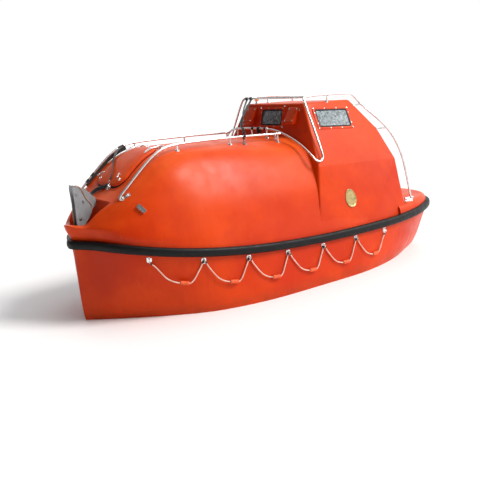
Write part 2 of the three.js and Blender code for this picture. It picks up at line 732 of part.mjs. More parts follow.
// Hooks: two cheek plates on a base carry the pin of the hook between them
// Side views as x, z; the lowest points of the frame follow the deck that it stands on.
const HOOK_FRAME = [
  [2392, 1430], [2398, 1385], [2388, 1228], [2392, 1020], [2392, 0], [2300, 0],
  [2300, 1010], [2222, 1100], [2172, 1205], [2180, 1290], [2258, 1376],
];
const HOOK = [
  [2315, 1300], [2330, 1250], [2315, 1190], [2255, 1150], [2190, 1150],
  [2150, 1185], [2135, 1240], [2145, 1275], [2175, 1270], [2180, 1235],
  [2200, 1205], [2235, 1200], [2253, 1225], [2247, 1330], [2275, 1345],
];
const HOOK_PIN = { x: 2285, z: 1255, radius: 14, stand: 14, play: 1 };
const HOOK_BAR = { x: 2368, z: 1335, radius: 10 };
const HOOK_BASE = { x0: 2270, x1: 2400, half: 80, thickness: 14 };
const HOOK_HALF = 19;
const CHEEK = { inner: 27, outer: 40 };

// A rod across the hook, from side to side
const crossRod = (x, z, half, radius, sides) => rod(V(x, -half, z), V(x, half, z), radius, sides);

function hookFrame(base) {
  const profile = HOOK_FRAME.map(([x, z]) => [x, Math.max(z, base)]);
  const { x0, x1, half, thickness } = HOOK_BASE;
  return join(
    sidePlate(profile, CHEEK.inner, CHEEK.outer), sidePlate(profile, -CHEEK.outer, -CHEEK.inner),
    block(x0, x1, -half, half, base, base + thickness),
    crossRod(HOOK_PIN.x, HOOK_PIN.z, CHEEK.outer + HOOK_PIN.stand, HOOK_PIN.radius, 16),
    crossRod(HOOK_BAR.x, HOOK_BAR.z, CHEEK.outer, HOOK_BAR.radius, 10),
  );
}

function hookSolid() {
  const bore = crossRod(HOOK_PIN.x, HOOK_PIN.z, CHEEK.outer, HOOK_PIN.radius + HOOK_PIN.play, 16);
  return sidePlate(HOOK, -HOOK_HALF, HOOK_HALF).subtract(bore);
}

// The stern hook is the bow hook turned about and lowered, on a shorter frame.
const STERN_HOOK = { pinX: -2240, lower: 240, base: 684 };
const toStern = (made) => made.rotate([0, 0, 180])
  .translate([STERN_HOOK.pinX + HOOK_PIN.x, 0, -STERN_HOOK.lower]);

const bowHookFrame = hookFrame(WELL.floor + GAP);
const sternHookFrame = toStern(hookFrame(STERN_HOOK.base + GAP + STERN_HOOK.lower)).subtract(canopyGrown);

// Lifelines hang in loops between the eyes, clear of the hull.
// One loop: share of the span, share of the sag, outwards; a float lies between its fourth and fifth point.
const LOOP = [
  [0, 0, 4], [0.09, 0.3, 8], [0.28, 0.82, 14], [0.47, 0.985, 17], [0.69, 1, 17], [0.91, 0.32, 8],
];
const SAG = 235;
// The rope's two ends are tied under the first and the last eye.
const EYE_END = 29;
const FLOAT_SPAN = 3;

function lifelineRoute() {
  const route = [];
  for (let k = 0; k + 1 < EYE_X.length; k++) {
    const [from, to] = [eyePlace(EYE_X[k]), eyePlace(EYE_X[k + 1])];
    for (const [share, sag, out] of LOOP) {
      const x = EYE_X[k] + share * (EYE_X[k + 1] - EYE_X[k]);
      const station = stationAt(x);
      const z = from.z + share * (to.z - from.z) - sag * SAG;
      const hanging = eyePlace(x);
      const clear = skin(station, z, ROPE_RADIUS + out);
      route.push(V(hanging.x, Math.max(hanging.y, clear.y), z));
    }
  }
  route.push(eyePlace(EYE_X[EYE_X.length - 1]));
  route[0].z -= EYE_END;
  route[route.length - 1].z -= EYE_END;
  return route;
}

// Smooth but for the straight stretch inside each float.
function ropePoints(route) {
  const curve = new THREE.CatmullRomCurve3(route, false, 'centripetal');
  const points = [];
  for (let i = 0; i + 1 < route.length; i++) {
    points.push(route[i].clone());
    const straight = i % LOOP.length === FLOAT_SPAN;
    const bent = curve.getPoint((i + 0.5) / (route.length - 1));
    points.push(straight ? route[i].clone().lerp(route[i + 1], 0.5) : bent);
  }
  points.push(route[route.length - 1].clone());
  return points;
}

const portRoute = lifelineRoute();
const lifeline = tube(ropePoints(portRoute), ROPE_RADIUS, 8);

function floatSolid(loop) {
  const at = loop * LOOP.length + FLOAT_SPAN;
  const [a, b] = [portRoute[at], portRoute[at + 1]];
  const middle = a.clone().lerp(b, 0.5);
  const half = b.clone().sub(a).normalize().multiplyScalar(FLOAT.length / 2);
  const reach = half.clone().multiplyScalar(1.2);
  return rod(middle.clone().sub(half), middle.clone().add(half), FLOAT.radius, 12)
    .subtract(rod(middle.clone().sub(reach), middle.clone().add(reach), FLOAT.bore, 12));
}

// Sling strap from the tower rail down to the port handrail
const SLING = { radius: 7.5, tops: [-505, -425], low: V(440, 440, 1716) };

function slingSolid() {
  return join(...SLING.tops.map((y) => {
    const top = V(ROOF_BAR.x, y, ROOF_BAR.z);
    const along = SLING.low.clone().sub(top).normalize();
    return tube([top.addScaledVector(along, 10), SLING.low.clone().addScaledVector(along, -6)], SLING.radius);
  })).subtract(grown(towerRail)).subtract(grown(handrail.port));
}

const handrail = { port: handrailSolid(1), starboard: handrailSolid(-1) };

// Cabin furniture stands on the cabin floor, trimmed to the hull where it meets it.
const BELOW_FLOOR = -445;
const ENGINE = { x0: -1150, x1: -560, half: 210, top: -20 };
const BENCH = { x0: -1250, x1: 1250, inner: 500, outer: 1200, top: 40 };
const hullGrown = grown(hullShell);
const fitted = (made) => made.intersect(hullOuter).subtract(hullGrown);
const bench = (y0, y1) => fitted(block(BENCH.x0, BENCH.x1, y0, y1, BELOW_FLOOR, BENCH.top));
const engine = fitted(block(ENGINE.x0, ENGINE.x1, -ENGINE.half, ENGINE.half, BELOW_FLOOR, ENGINE.top));
const helmSeat = join(
  block(-1060, -760, -190, 190, ENGINE.top + GAP, 1000),
  block(-1080, -640, -230, 230, 1000, 1060),
  block(-1110, -1050, -220, 220, 1000, 1520),
);
const CONSOLE = [
  [-400, BELOW_FLOOR], [-545, BELOW_FLOOR], [-545, 1180], [-480, 1330], [-420, 1330], [-400, 1250],
];
const helmConsole = sidePlate(CONSOLE, -210, 210).subtract(hullGrown);
// The wheel's shaft reaches the console's sloping face, square to it.
const WHEEL = { radius: 165, rim: 11, spoke: 8, hub: 30, spokes: 3, centre: V(-560, 0, 1300), reach: 61.5 };
const WHEEL_AXIS = V(-0.917, 0, 0.398).normalize();

function wheelSolid() {
  const turn = new THREE.Quaternion().setFromUnitVectors(V(0, 0, 1), WHEEL_AXIS);
  const parts = [solid(new THREE.TorusGeometry(WHEEL.radius, WHEEL.rim, 6, 20))];
  for (let i = 0; i < WHEEL.spokes; i++) {
    const angle = (90 + i * 360 / WHEEL.spokes) * RAD;
    const tip = V(WHEEL.radius * Math.cos(angle), WHEEL.radius * Math.sin(angle), 0);
    parts.push(rod(V(0, 0, -WHEEL.spoke), tip, WHEEL.spoke, 8));
  }
  parts.push(rod(V(0, 0, -WHEEL.reach), V(0, 0, WHEEL.spoke), WHEEL.hub, 14));
  const whole = geometryOf(join(...parts)).applyQuaternion(turn).translate(...WHEEL.centre.toArray());
  return solid(whole).subtract(moved(helmConsole, WHEEL_AXIS.x * GAP, 0, WHEEL_AXIS.z * GAP));
}

// Small outside fittings are laid against the canopy and trimmed to its form.
const BOW_FITTING = { width: 104, height: 46, radius: 8, stand: 24, centre: V(1952, 600, 1160) };

function bowFitting(side) {
  const { width, height, radius, stand, centre } = BOW_FITTING;
  const across = V(-0.45, 0.53, -0.71).normalize();
  const up = V(0.5, 0.78, 0.38).normalize().cross(across).normalize();
  const plate = facePrism(roundedRectangle(width, height, radius), { centre, across, up }, -60, stand);
  return onSide(plate, side).subtract(canopyGrown);
}

const CLEAT = { x: -1740, y: 870, horn: 75, foot: 50, half: 20, top: 700, radius: 12 };

function sternCleat(side) {
  const { x, y, horn, foot, half, top, radius } = CLEAT;
  const base = block(x - foot, x + foot, y - half, y + half, top - 100, top - radius + 2);
  return onSide(join(base, rod(V(x - horn, y, top), V(x + horn, y, top), radius, 10)), side)
    .subtract(canopyGrown);
}

const SIDE_COVER = { halfWidth: 84, halfHeight: 108, stand: 12, centre: V(-618, 985, 886) };

function sideCover() {
  const { halfWidth, halfHeight, stand, centre } = SIDE_COVER;
  const egg = new THREE.Shape();
  egg.absellipse(0, 0, halfWidth, halfHeight, 0, FULL_TURN);
  const place = { centre, across: V(-1, 0, 0), up: V(0, -0.236, 0.972).normalize() };
  return facePrism(egg, place, -40, stand).subtract(canopyGrown);
}

const LAMP = { x: -455, y: -390, foot: 1960, neck: 2030, top: 2072, stem: 14, radius: 26 };
const lampRod = (low, high, radius) => (
  rod(V(LAMP.x, LAMP.y, low), V(LAMP.x, LAMP.y, high), radius, 14));
const roofLamp = join(lampRod(LAMP.foot, LAMP.neck, LAMP.stem), lampRod(LAMP.neck, LAMP.top, LAMP.radius))
  .subtract(canopyGrown);

// Materials: colour, roughness, metalness
const FINISH = {
  gelcoat: [0xe84e10, 0.28, 0],
  rubber: [0x15151a, 0.6, 0],
  steel: [0xd8dade, 0.2, 1],
  paintedSteel: [0x83858a, 0.55, 0.3],
  glass: [0x6f7f88, 0.1, 0],
  rope: [0xe2b7a4, 0.9, 0],
  floatFoam: [0xf05a1e, 0.7, 0],
  webbing: [0x101012, 0.9, 0],
  bronze: [0xa58c5f, 0.45, 0.8],
  engine: [0x4d5a5f, 0.6, 0.4],
  liner: [0xe8e6df, 0.6, 0],
  cushion: [0x2a2c30, 0.8, 0],
  lamp: [0xff9a1e, 0.25, 0],
};

function mesh(name, made, finish) {
  const [color, roughness, metalness] = FINISH[finish];
  const material = new THREE.MeshStandardMaterial({ color, roughness, metalness });
  const piece = new THREE.Mesh(geometryOf(made), material);
  piece.name = name;
  return piece;
}

const boat = new THREE.Group();
boat.name = 'lifeboat';
boat.add(
  mesh('hull_shell', hullShell, 'gelcoat'),
  mesh('canopy_shell', canopyShell, 'gelcoat'),
  mesh('fender', fenderSolid(), 'rubber'),
  mesh('skeg', skegSolid, 'gelcoat'),
  mesh('propeller', propellerSolid(), 'bronze'),
  mesh('rudder', rudderSolid(), 'paintedSteel'),
  mesh('forward_hatch', lidSolid(), 'gelcoat'),
  mesh('aft_hatch', doorSolid(), 'gelcoat'),
  mesh('window_front', windows.front.pane, 'glass'),
  mesh('window_port', windows.port.pane, 'glass'),
  mesh('window_starboard', mirrored(windows.port.pane), 'glass'),
  mesh('window_aft', windows.aft.pane, 'glass'),
  mesh('cowl_port', cowlSolid(1), 'gelcoat'),
  mesh('cowl_starboard', cowlSolid(-1), 'gelcoat'),
  mesh('bow_hook_frame', bowHookFrame, 'paintedSteel'),
  mesh('bow_hook', hookSolid(), 'paintedSteel'),
  mesh('stern_hook_frame', sternHookFrame, 'paintedSteel'),
  mesh('stern_hook', toStern(hookSolid()), 'paintedSteel'),
  mesh('lifeline_port', lifeline, 'rope'),
  mesh('lifeline_starboard', mirrored(lifeline), 'rope'),
  mesh('sling_strap', slingSolid(), 'webbing'),
  mesh('roof_lamp', roofLamp, 'lamp'),
  mesh('side_cover', sideCover(), 'bronze'),
  mesh('bow_fitting_port', bowFitting(1), 'steel'),
  mesh('bow_fitting_starboard', bowFitting(-1), 'steel'),
  mesh('stern_cleat_port', sternCleat(1), 'steel'),
  mesh('stern_cleat_starboard', sternCleat(-1), 'steel'),
  mesh('engine_block', engine, 'engine'),
  mesh('helm_console', helmConsole, 'liner'),
  mesh('steering_wheel', wheelSolid(), 'cushion'),
  mesh('helm_seat', helmSeat, 'cushion'),
  mesh('bench_port', bench(BENCH.inner, BENCH.outer), 'liner'),
  mesh('bench_starboard', bench(-BENCH.outer, -BENCH.inner), 'liner'),
);
for (const [length, made] of Object.entries(towerRailLengths(towerRail))) {
  boat.add(mesh(`tower_rail_${length}`, made, 'steel'));
}
for (const side of ['port', 'starboard']) {
  for (const [length, made] of Object.entries(railLengths(handrail[side]))) {
    boat.add(mesh(`handrail_${side}_${length}`, made, 'steel'));
  }
}
for (let loop = 0; loop + 1 < EYE_X.length; loop++) {
  boat.add(mesh(`float_port_${loop + 1}`, floatSolid(loop), 'floatFoam'));
  boat.add(mesh(`float_starboard_${loop + 1}`, mirrored(floatSolid(loop)), 'floatFoam'));
}

export default boat;
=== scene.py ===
import math
import bmesh
import bpy
import numpy as np
from mathutils import Matrix, Vector
from mathutils.bvhtree import BVHTree


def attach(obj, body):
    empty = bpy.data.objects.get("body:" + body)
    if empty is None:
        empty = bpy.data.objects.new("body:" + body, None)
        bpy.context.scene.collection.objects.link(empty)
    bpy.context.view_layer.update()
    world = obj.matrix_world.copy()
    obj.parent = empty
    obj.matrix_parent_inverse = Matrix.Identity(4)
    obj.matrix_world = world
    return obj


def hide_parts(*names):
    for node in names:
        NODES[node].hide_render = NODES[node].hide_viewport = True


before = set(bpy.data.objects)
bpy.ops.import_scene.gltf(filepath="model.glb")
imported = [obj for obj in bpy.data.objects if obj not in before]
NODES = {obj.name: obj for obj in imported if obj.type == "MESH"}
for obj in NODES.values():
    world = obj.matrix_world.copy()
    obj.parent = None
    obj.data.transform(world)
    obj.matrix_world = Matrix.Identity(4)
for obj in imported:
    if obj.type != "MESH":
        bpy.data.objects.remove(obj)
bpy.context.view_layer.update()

RAD = math.pi / 180
GAP = 0.0003

# Camera, at the photograph's angle
EYE_AT = Vector((6.422, 7.992, 2.521))
FORWARD = Vector((-0.597, -0.777, -0.201)).normalized()
RIGHT = Vector((-0.780, 0.620, -0.081))
RIGHT = (RIGHT - FORWARD * RIGHT.dot(FORWARD)).normalized()
UPWARD = RIGHT.cross(FORWARD)
camera = bpy.data.objects.new("camera", bpy.data.cameras.new("camera"))
bpy.context.scene.collection.objects.link(camera)
camera.data.lens = 65.01
camera.data.sensor_width = 36
camera.data.clip_end = 400
camera.matrix_world = Matrix((
    (RIGHT.x, UPWARD.x, -FORWARD.x, EYE_AT.x),
    (RIGHT.y, UPWARD.y, -FORWARD.y, EYE_AT.y),
    (RIGHT.z, UPWARD.z, -FORWARD.z, EYE_AT.z),
    (0, 0, 0, 1),
))
bpy.context.scene.camera = camera


# Curves and the boat's form, as in the part's source
def catmull(points):
    """The smooth curve through the points, from 0 to 1."""
    line = [np.array(p, float) for p in points]
    last = len(line) - 1

    def at(t):
        i = min(max(int(math.floor(t * last)), 0), last - 1)
        w = t * last - i
        x1, x2 = line[i], line[i + 1]
        x0 = line[i - 1] if i > 0 else 2 * line[0] - line[1]
        x3 = line[i + 2] if i + 2 <= last else 2 * line[last] - line[last - 1]
        d0, d1, d2 = (max(float(np.dot(b - a, b - a)), 0) ** 0.25 for a, b in ((x0, x1), (x1, x2), (x2, x3)))
        d1 = 1.0 if d1 < 1e-5 else d1
        d0 = d1 if d0 < 1e-5 else d0
        d2 = d1 if d2 < 1e-5 else d2
        t1 = ((x1 - x0) / d0 - (x2 - x0) / (d0 + d1) + (x2 - x1) / d1) * d1
        t2 = ((x2 - x1) / d1 - (x3 - x1) / (d1 + d2) + (x3 - x2) / d2) * d1
        return x1 + t1 * w + (-3 * x1 + 3 * x2 - 2 * t1 - t2) * w ** 2 + (2 * x1 - 2 * x2 + t1 + t2) * w ** 3
    return at


def smooth(points, per_span):
    curve = catmull(points)
    count = (len(points) - 1) * per_span
    return [curve(i / count) for i in range(count + 1)]


# sheer x y z, waterline x y, bilge x y z, floor x y z
HULL = [
    (2.445, 0, .822, 2.405, 0, 2.300, 0, -.280, 2.080, 0, -.430),
    (2.335, .215, .815, 2.300, .110, 2.170, .060, -.290, 1.960, .030, -.440),
    (2.170, .545, .785, 2.090, .320, 1.960, .180, -.300, 1.800, .070, -.455),
    (1.850, .765, .718, 1.780, .595, 1.690, .380, -.305, 1.580, .120, -.470),
    (1.400, .925, .645, 1.370, .885, 1.330, .665, -.300, 1.280, .210, -.480),
    (.800, 1.015, .578, .800, 1.040, .800, .880, -.290, .800, .320, -.480),
    (0, 1.050, .529, 0, 1.072, 0, .950, -.285, 0, .400, -.480),
    (-.800, 1.050, .516, -.800, 1.045, -.780, .890, -.285, -.750, .330, -.475),
    (-1.450, .995, .516, -1.400, .885, -1.340, .650, -.260, -1.250, .180, -.420),
    (-1.950, .865, .533, -1.850, .665, -1.760, .400, -.150, -1.680, .080, -.190),
    (-2.300, .660, .556, -2.170, .490, -2.090, .250, -.060, -2.020, .045, -.090),
    (-2.430, .360, .572, -2.360, .320, -2.320, .170, -.030, -2.290, .030, -.050),
    (-2.455, 0, .577, -2.405, 0, -2.395, 0, -.025, -2.380, 0, -.045),
]
# station, low x y z, bend x y z, shoulder x y z, deck edge x y z, deck centre z
CANOPY = [
    (0, 2.492, 0, .960, 2.505, 0, 1.005, 2.509, 0, 1.028, 2.510, 0, 1.037, 1.037),
    (1, 2.372, .213, .945, 2.392, .215, .985, 2.398, .215, 1.003, 2.385, .190, 1.018, 1.032),
    (2, 2.195, .532, .905, 2.235, .475, .990, 2.275, .360, 1.060, 2.290, .252, 1.115, 1.135),
    (3, 1.880, .745, .865, 1.950, .650, 1.050, 2.050, .510, 1.195, 2.080, .400, 1.258, 1.275),
    (4, 1.430, .885, .855, 1.520, .780, 1.120, 1.640, .575, 1.460, 1.660, .420, 1.572, 1.592),
    (4.5, 1.130, .925, .850, 1.200, .825, 1.150, 1.350, .560, 1.575, 1.420, .420, 1.656, 1.682),
    (5, .820, .955, .845, .860, .850, 1.155, .900, .590, 1.590, .960, .420, 1.662, 1.692),
    (6, 0, .980, .820, 0, .885, 1.130, .060, .640, 1.510, .060, .420, 1.618, 1.650),
    (7, -.800, .975, .820, -.800, .875, 1.130, -.800, .640, 1.490, -.800, .420, 1.590, 1.620),
]
LAST = len(HULL) - 1
BAND = 0.055


def column(points, blunt_bow=False, blunt_stern=False):
    line = [np.array(p, float) for p in points]
    across = np.array((1, -1, 1))
    if blunt_bow:
        line.insert(0, line[1] * across)
    if blunt_stern:
        line.append(line[-2] * across)
    curve = catmull(line)
    first = 1 if blunt_bow else 0
    return lambda at: curve((at + first) / (len(line) - 1))


sheer_column = column([row[0:3] for row in HULL], True, True)
hull_columns = [
    column([(row[3], row[4], 0) for row in HULL]),
    column([row[5:8] for row in HULL]),
    column([row[8:11] for row in HULL]),
]
canopy_columns = [column([row[i:i + 3] for row in CANOPY], True) for i in (1, 4, 7, 10)]
deck_centre = column([(row[10], 0, row[13]) for row in CANOPY])


def sheer(station, outwards=0.0):
    point = sheer_column(station)
    along = sheer_column(min(station + .01, LAST)) - sheer_column(max(station - .01, 0))
    normal = np.array((along[1], -along[0], 0))
    normal /= np.linalg.norm(normal)
    if station <= .01:
        normal = np.array((1.0, 0, 0))
    if station >= LAST - .01:
        normal = np.array((-1.0, 0, 0))
    if normal[1] < 0:
        normal = -normal
    return point + normal * outwards


def with_z(point, z):
    return np.array((point[0], point[1], z))


def hull_half(station, fine):
    top = sheer(station)
    side = [with_z(top, top[2] - BAND)] + [at(station) for at in hull_columns]
    return [top] + smooth(side, fine) + [side[-1] * (1, 0, 1) + (0, 0, -.008)]


def canopy_index(station):
    for i in range(len(CANOPY) - 1):
        if station <= CANOPY[i + 1][0]:
            return i + (station - CANOPY[i][0]) / (CANOPY[i + 1][0] - CANOPY[i][0])
    return len(CANOPY) - 1


def canopy_half(station, fine, crown=3):
    base = sheer(station)
    index = canopy_index(station)
    line = [with_z(base, base[2] + BAND)] + [at(index) for at in canopy_columns]
    edge, centre = line[-1], deck_centre(index)
    top = []
    for i in range(1, crown):
        share = i / crown
        point = edge + (centre - edge) * share
        top.append(with_z(point, edge[2] + (centre[2] - edge[2]) * (1 - (1 - share) ** 2)))
    return [with_z(base, base[2] + GAP)] + smooth(line, fine) + top + [centre]


def deck_half(station):
    """The low stern deck, with a rounded gunwale"""
    base = sheer(station)
    rise = .655 + .02 * max(0.0, -1.5 - base[0])
    line = [with_z(base, base[2] + BAND), with_z(sheer(station, -.014), rise - .026),
            with_z(sheer(station, -.044), rise), with_z(sheer(station, -.1), rise + .0015)]
    centre = line[2] * (1, 0, 1) + (0, 0, .012)
    return [with_z(base, base[2] + GAP)] + smooth(line, 3) + [centre]


def span(low, high, per_station):
    return [i / per_station for i in range(round(low * per_station), round(high * per_station) + 1)]


def whole(half):
    return list(half) + [p * (1, -1, 1) for p in reversed(half)]


# Meshes
def new_object(name, mesh):
    obj = bpy.data.objects.new(name, mesh)
    bpy.context.scene.collection.objects.link(obj)
    return obj


def object_of(bm, name):
    mesh = bpy.data.meshes.new(name)
    bm.to_mesh(mesh)
    bm.free()
    return new_object(name, mesh)


def loft_bm(rings, caps=(False, False)):
    """A closed form through rings of points; equal points are merged."""
    bm = bmesh.new()
    lines = [[bm.verts.new(p) for p in ring] for ring in rings]
    count = len(rings[0])
    for a, b in zip(lines, lines[1:]):
        for j in range(count):
            k = (j + 1) % count
            bm.faces.new((a[j], b[j], b[k], a[k]))
    for ring, wanted in ((lines[0], caps[0]), (lines[-1], caps[1])):
        if wanted:
            middle = bm.verts.new(sum((v.co for v in ring), Vector()) / count)
            for j in range(count):
                bm.faces.new((ring[j], ring[(j + 1) % count], middle))
    bmesh.ops.remove_doubles(bm, verts=bm.verts, dist=2e-5)
    bmesh.ops.recalc_face_normals(bm, faces=bm.faces)
    return bm


def block_bm(low, high):
    bm = bmesh.new()
    bmesh.ops.create_cube(bm, size=1)
    for v in bm.verts:
        v.co = Vector([(a + b) / 2 + c * (b - a) for a, b, c in zip(low, high, v.co)])
    return bm


def prism_bm(outline, low, high, place=None):
    """A prism over a flat outline, along z or on a place with centre, across and up."""
    bm = bmesh.new()
    rings = [[bm.verts.new((x, y, z)) for x, y in outline] for z in (low, high)]
    count = len(outline)
    for j in range(count):
        k = (j + 1) % count
        bm.faces.new((rings[0][j], rings[0][k], rings[1][k], rings[1][j]))
    bm.faces.new(list(reversed(rings[0])))
    bm.faces.new(rings[1])
    if place:
        for v in bm.verts:
            v.co = on(place, *v.co)
    bmesh.ops.recalc_face_normals(bm, faces=bm.faces)
    return bm


def round_edges(bm, width, segments=3, angle=30, chosen=None):
    edges = [e for e in bm.edges if len(e.link_faces) == 2 and e.calc_face_angle(0) > angle * RAD
             and (chosen is None or chosen(e))]
    bmesh.ops.bevel(bm, geom=edges, offset=width, segments=segments, profile=.5, affect="EDGES",
                    clamp_overlap=True)
    return bm


def put_in(bm, other):
    """Adds another form's faces to bm."""
    mesh = bpy.data.meshes.new("part")
    other.to_mesh(mesh)
    other.free()
    bm.from_mesh(mesh)
    bpy.data.meshes.remove(mesh)
    return bm


def combine(base, tools, way):
    """Boolean of base with each tool in turn, applied; the tools are removed."""
    for tool in tools:
        change = base.modifiers.new("form", "BOOLEAN")
        change.operation = way
        change.solver = "MANIFOLD"
        change.object = tool
        evaluated = base.evaluated_get(bpy.context.evaluated_depsgraph_get())
        mesh = bpy.data.meshes.new_from_object(evaluated)
        base.modifiers.clear()
        if not mesh.polygons:
            raise RuntimeError(f"the boolean with {tool.name} left nothing")
        base.data = mesh
        bpy.data.objects.remove(tool)
    return base


def shade(obj, angle=32):
    obj.data.polygons.foreach_set("use_smooth", [True] * len(obj.data.polygons))
    obj.data.set_sharp_from_angle(angle=angle * RAD)
    return obj


def finish(obj, body, slot, *materials, replaces=(), angle=32):
    shade(obj, angle)
    obj.data.materials.clear()
    for material in materials:
        obj.data.materials.append(material)
    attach(obj, body)
    if replaces:
        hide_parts(*replaces)
    return obj


def frames_along(points, closed=False):
    """Two directions square to the line at each point, carried along without twist."""
    pts = [Vector(p) for p in points]
    count = len(pts)
    tangents = []
    for i in range(count):
        if closed:
            a, b = pts[i - 1], pts[(i + 1) % count]
        else:
            a, b = pts[max(i - 1, 0)], pts[min(i + 1, count - 1)]
        tangents.append((b - a).normalized())
    first = Vector((0, 0, 1)) if abs(tangents[0].z) < .9 else Vector((1, 0, 0))
    side = tangents[0].cross(first).normalized()
    out = []
    for t in tangents:
        side = (side - t * side.dot(t)).normalized()
        out.append((side, t.cross(side)))
    return pts, out


def tube_bm(points, radius, sides=14, caps=True, closed=False):
    """A round tube; radius is one number or a function of the share along it."""
    pts, square = frames_along(points, closed)
    bm = bmesh.new()
    rings = []
    for i, (p, (a, b)) in enumerate(zip(pts, square)):
        r = radius(i / (len(pts) - 1)) if callable(radius) else radius
        rings.append([bm.verts.new(p + a * r * math.cos(q * 2 * math.pi / sides)
                                   + b * r * math.sin(q * 2 * math.pi / sides)) for q in range(sides)])
    pairs = list(zip(rings, rings[1:])) + ([(rings[-1], rings[0])] if closed else [])
    for one, two in pairs:
        for j in range(sides):
            k = (j + 1) % sides
            bm.faces.new((one[j], one[k], two[k], two[j]))
    if caps and not closed:
        bm.faces.new(list(reversed(rings[0])))
        bm.faces.new(rings[-1])
    bmesh.ops.recalc_face_normals(bm, faces=bm.faces)
    return bm


def rod_bm(a, b, radius, sides=16, bevel=0.0):
    bm = tube_bm([a, b], radius, sides)
    if bevel:
        round_edges(bm, bevel, 2, 60)
    return bm


def turned_bm(centre, axis, profile, sides=20):
    """A turned form: profile of (along the axis, radius) from a point."""
    axis = Vector(axis).normalized()
    line = [Vector(centre) + axis * along for along, _ in profile]
    _, square = frames_along([line[0], line[0] + axis])
    a, b = square[0]
    bm = bmesh.new()
    rings = []
    for p, (_, r) in zip(line, profile):
        r = max(r, 1e-5)
        rings.append([bm.verts.new(p + a * r * math.cos(q * 2 * math.pi / sides)
                                   + b * r * math.sin(q * 2 * math.pi / sides)) for q in range(sides)])
    for one, two in zip(rings, rings[1:]):
        for j in range(sides):
            k = (j + 1) % sides
            bm.faces.new((one[j], one[k], two[k], two[j]))
    bm.faces.new(list(reversed(rings[0])))
    bm.faces.new(rings[-1])
    bmesh.ops.remove_doubles(bm, verts=bm.verts, dist=2e-5)
    bmesh.ops.recalc_face_normals(bm, faces=bm.faces)
    return bm


def bolt_bm(at, axis, radius=.007, height=.005):
    """A domed bolt head on its washer"""
    bm = turned_bm(at, axis, [(-.002, radius * 1.7), (.0012, radius * 1.7), (.0016, radius * 1.6),
                              (.0016, radius), (height * .6, radius), (height * .9, radius * .8),
                              (height, radius * .35)], 12)
    return bm


def several(name, forms):
    bm = bmesh.new()
    for form in forms:
        put_in(bm, form)
    return object_of(bm, name)


def place(centre, across, up):
    return {"centre": Vector(centre), "across": Vector(across).normalized(), "up": Vector(up).normalized()}


def on(where, u, v, w=0.0):
    normal = where["across"].cross(where["up"])
    return where["centre"] + where["across"] * u + where["up"] * v + normal * w


def rounded(width, height, radius, fine=6):
    points = []
    for cx, cy, turn in ((1, 1, 0), (-1, 1, 1), (-1, -1, 2), (1, -1, 3)):
        for i in range(fine + 1):
            angle = (turn + i / fine) * math.pi / 2
            points.append((cx * (width / 2 - radius) + radius * math.cos(angle),
                           cy * (height / 2 - radius) + radius * math.sin(angle)))
    return points


def ring_bm(where, width, height, radius, profile, fine=6):
    """A closed moulding round a rounded rectangle: profile of (outwards, height)."""
    lines = []
    for out, up in profile:
        grown = rounded(width + 2 * out, height + 2 * out, max(radius + out, .002), fine)
        lines.append([on(where, x, y, up) for x, y in grown])
    return loft_bm(lines + [lines[0]])


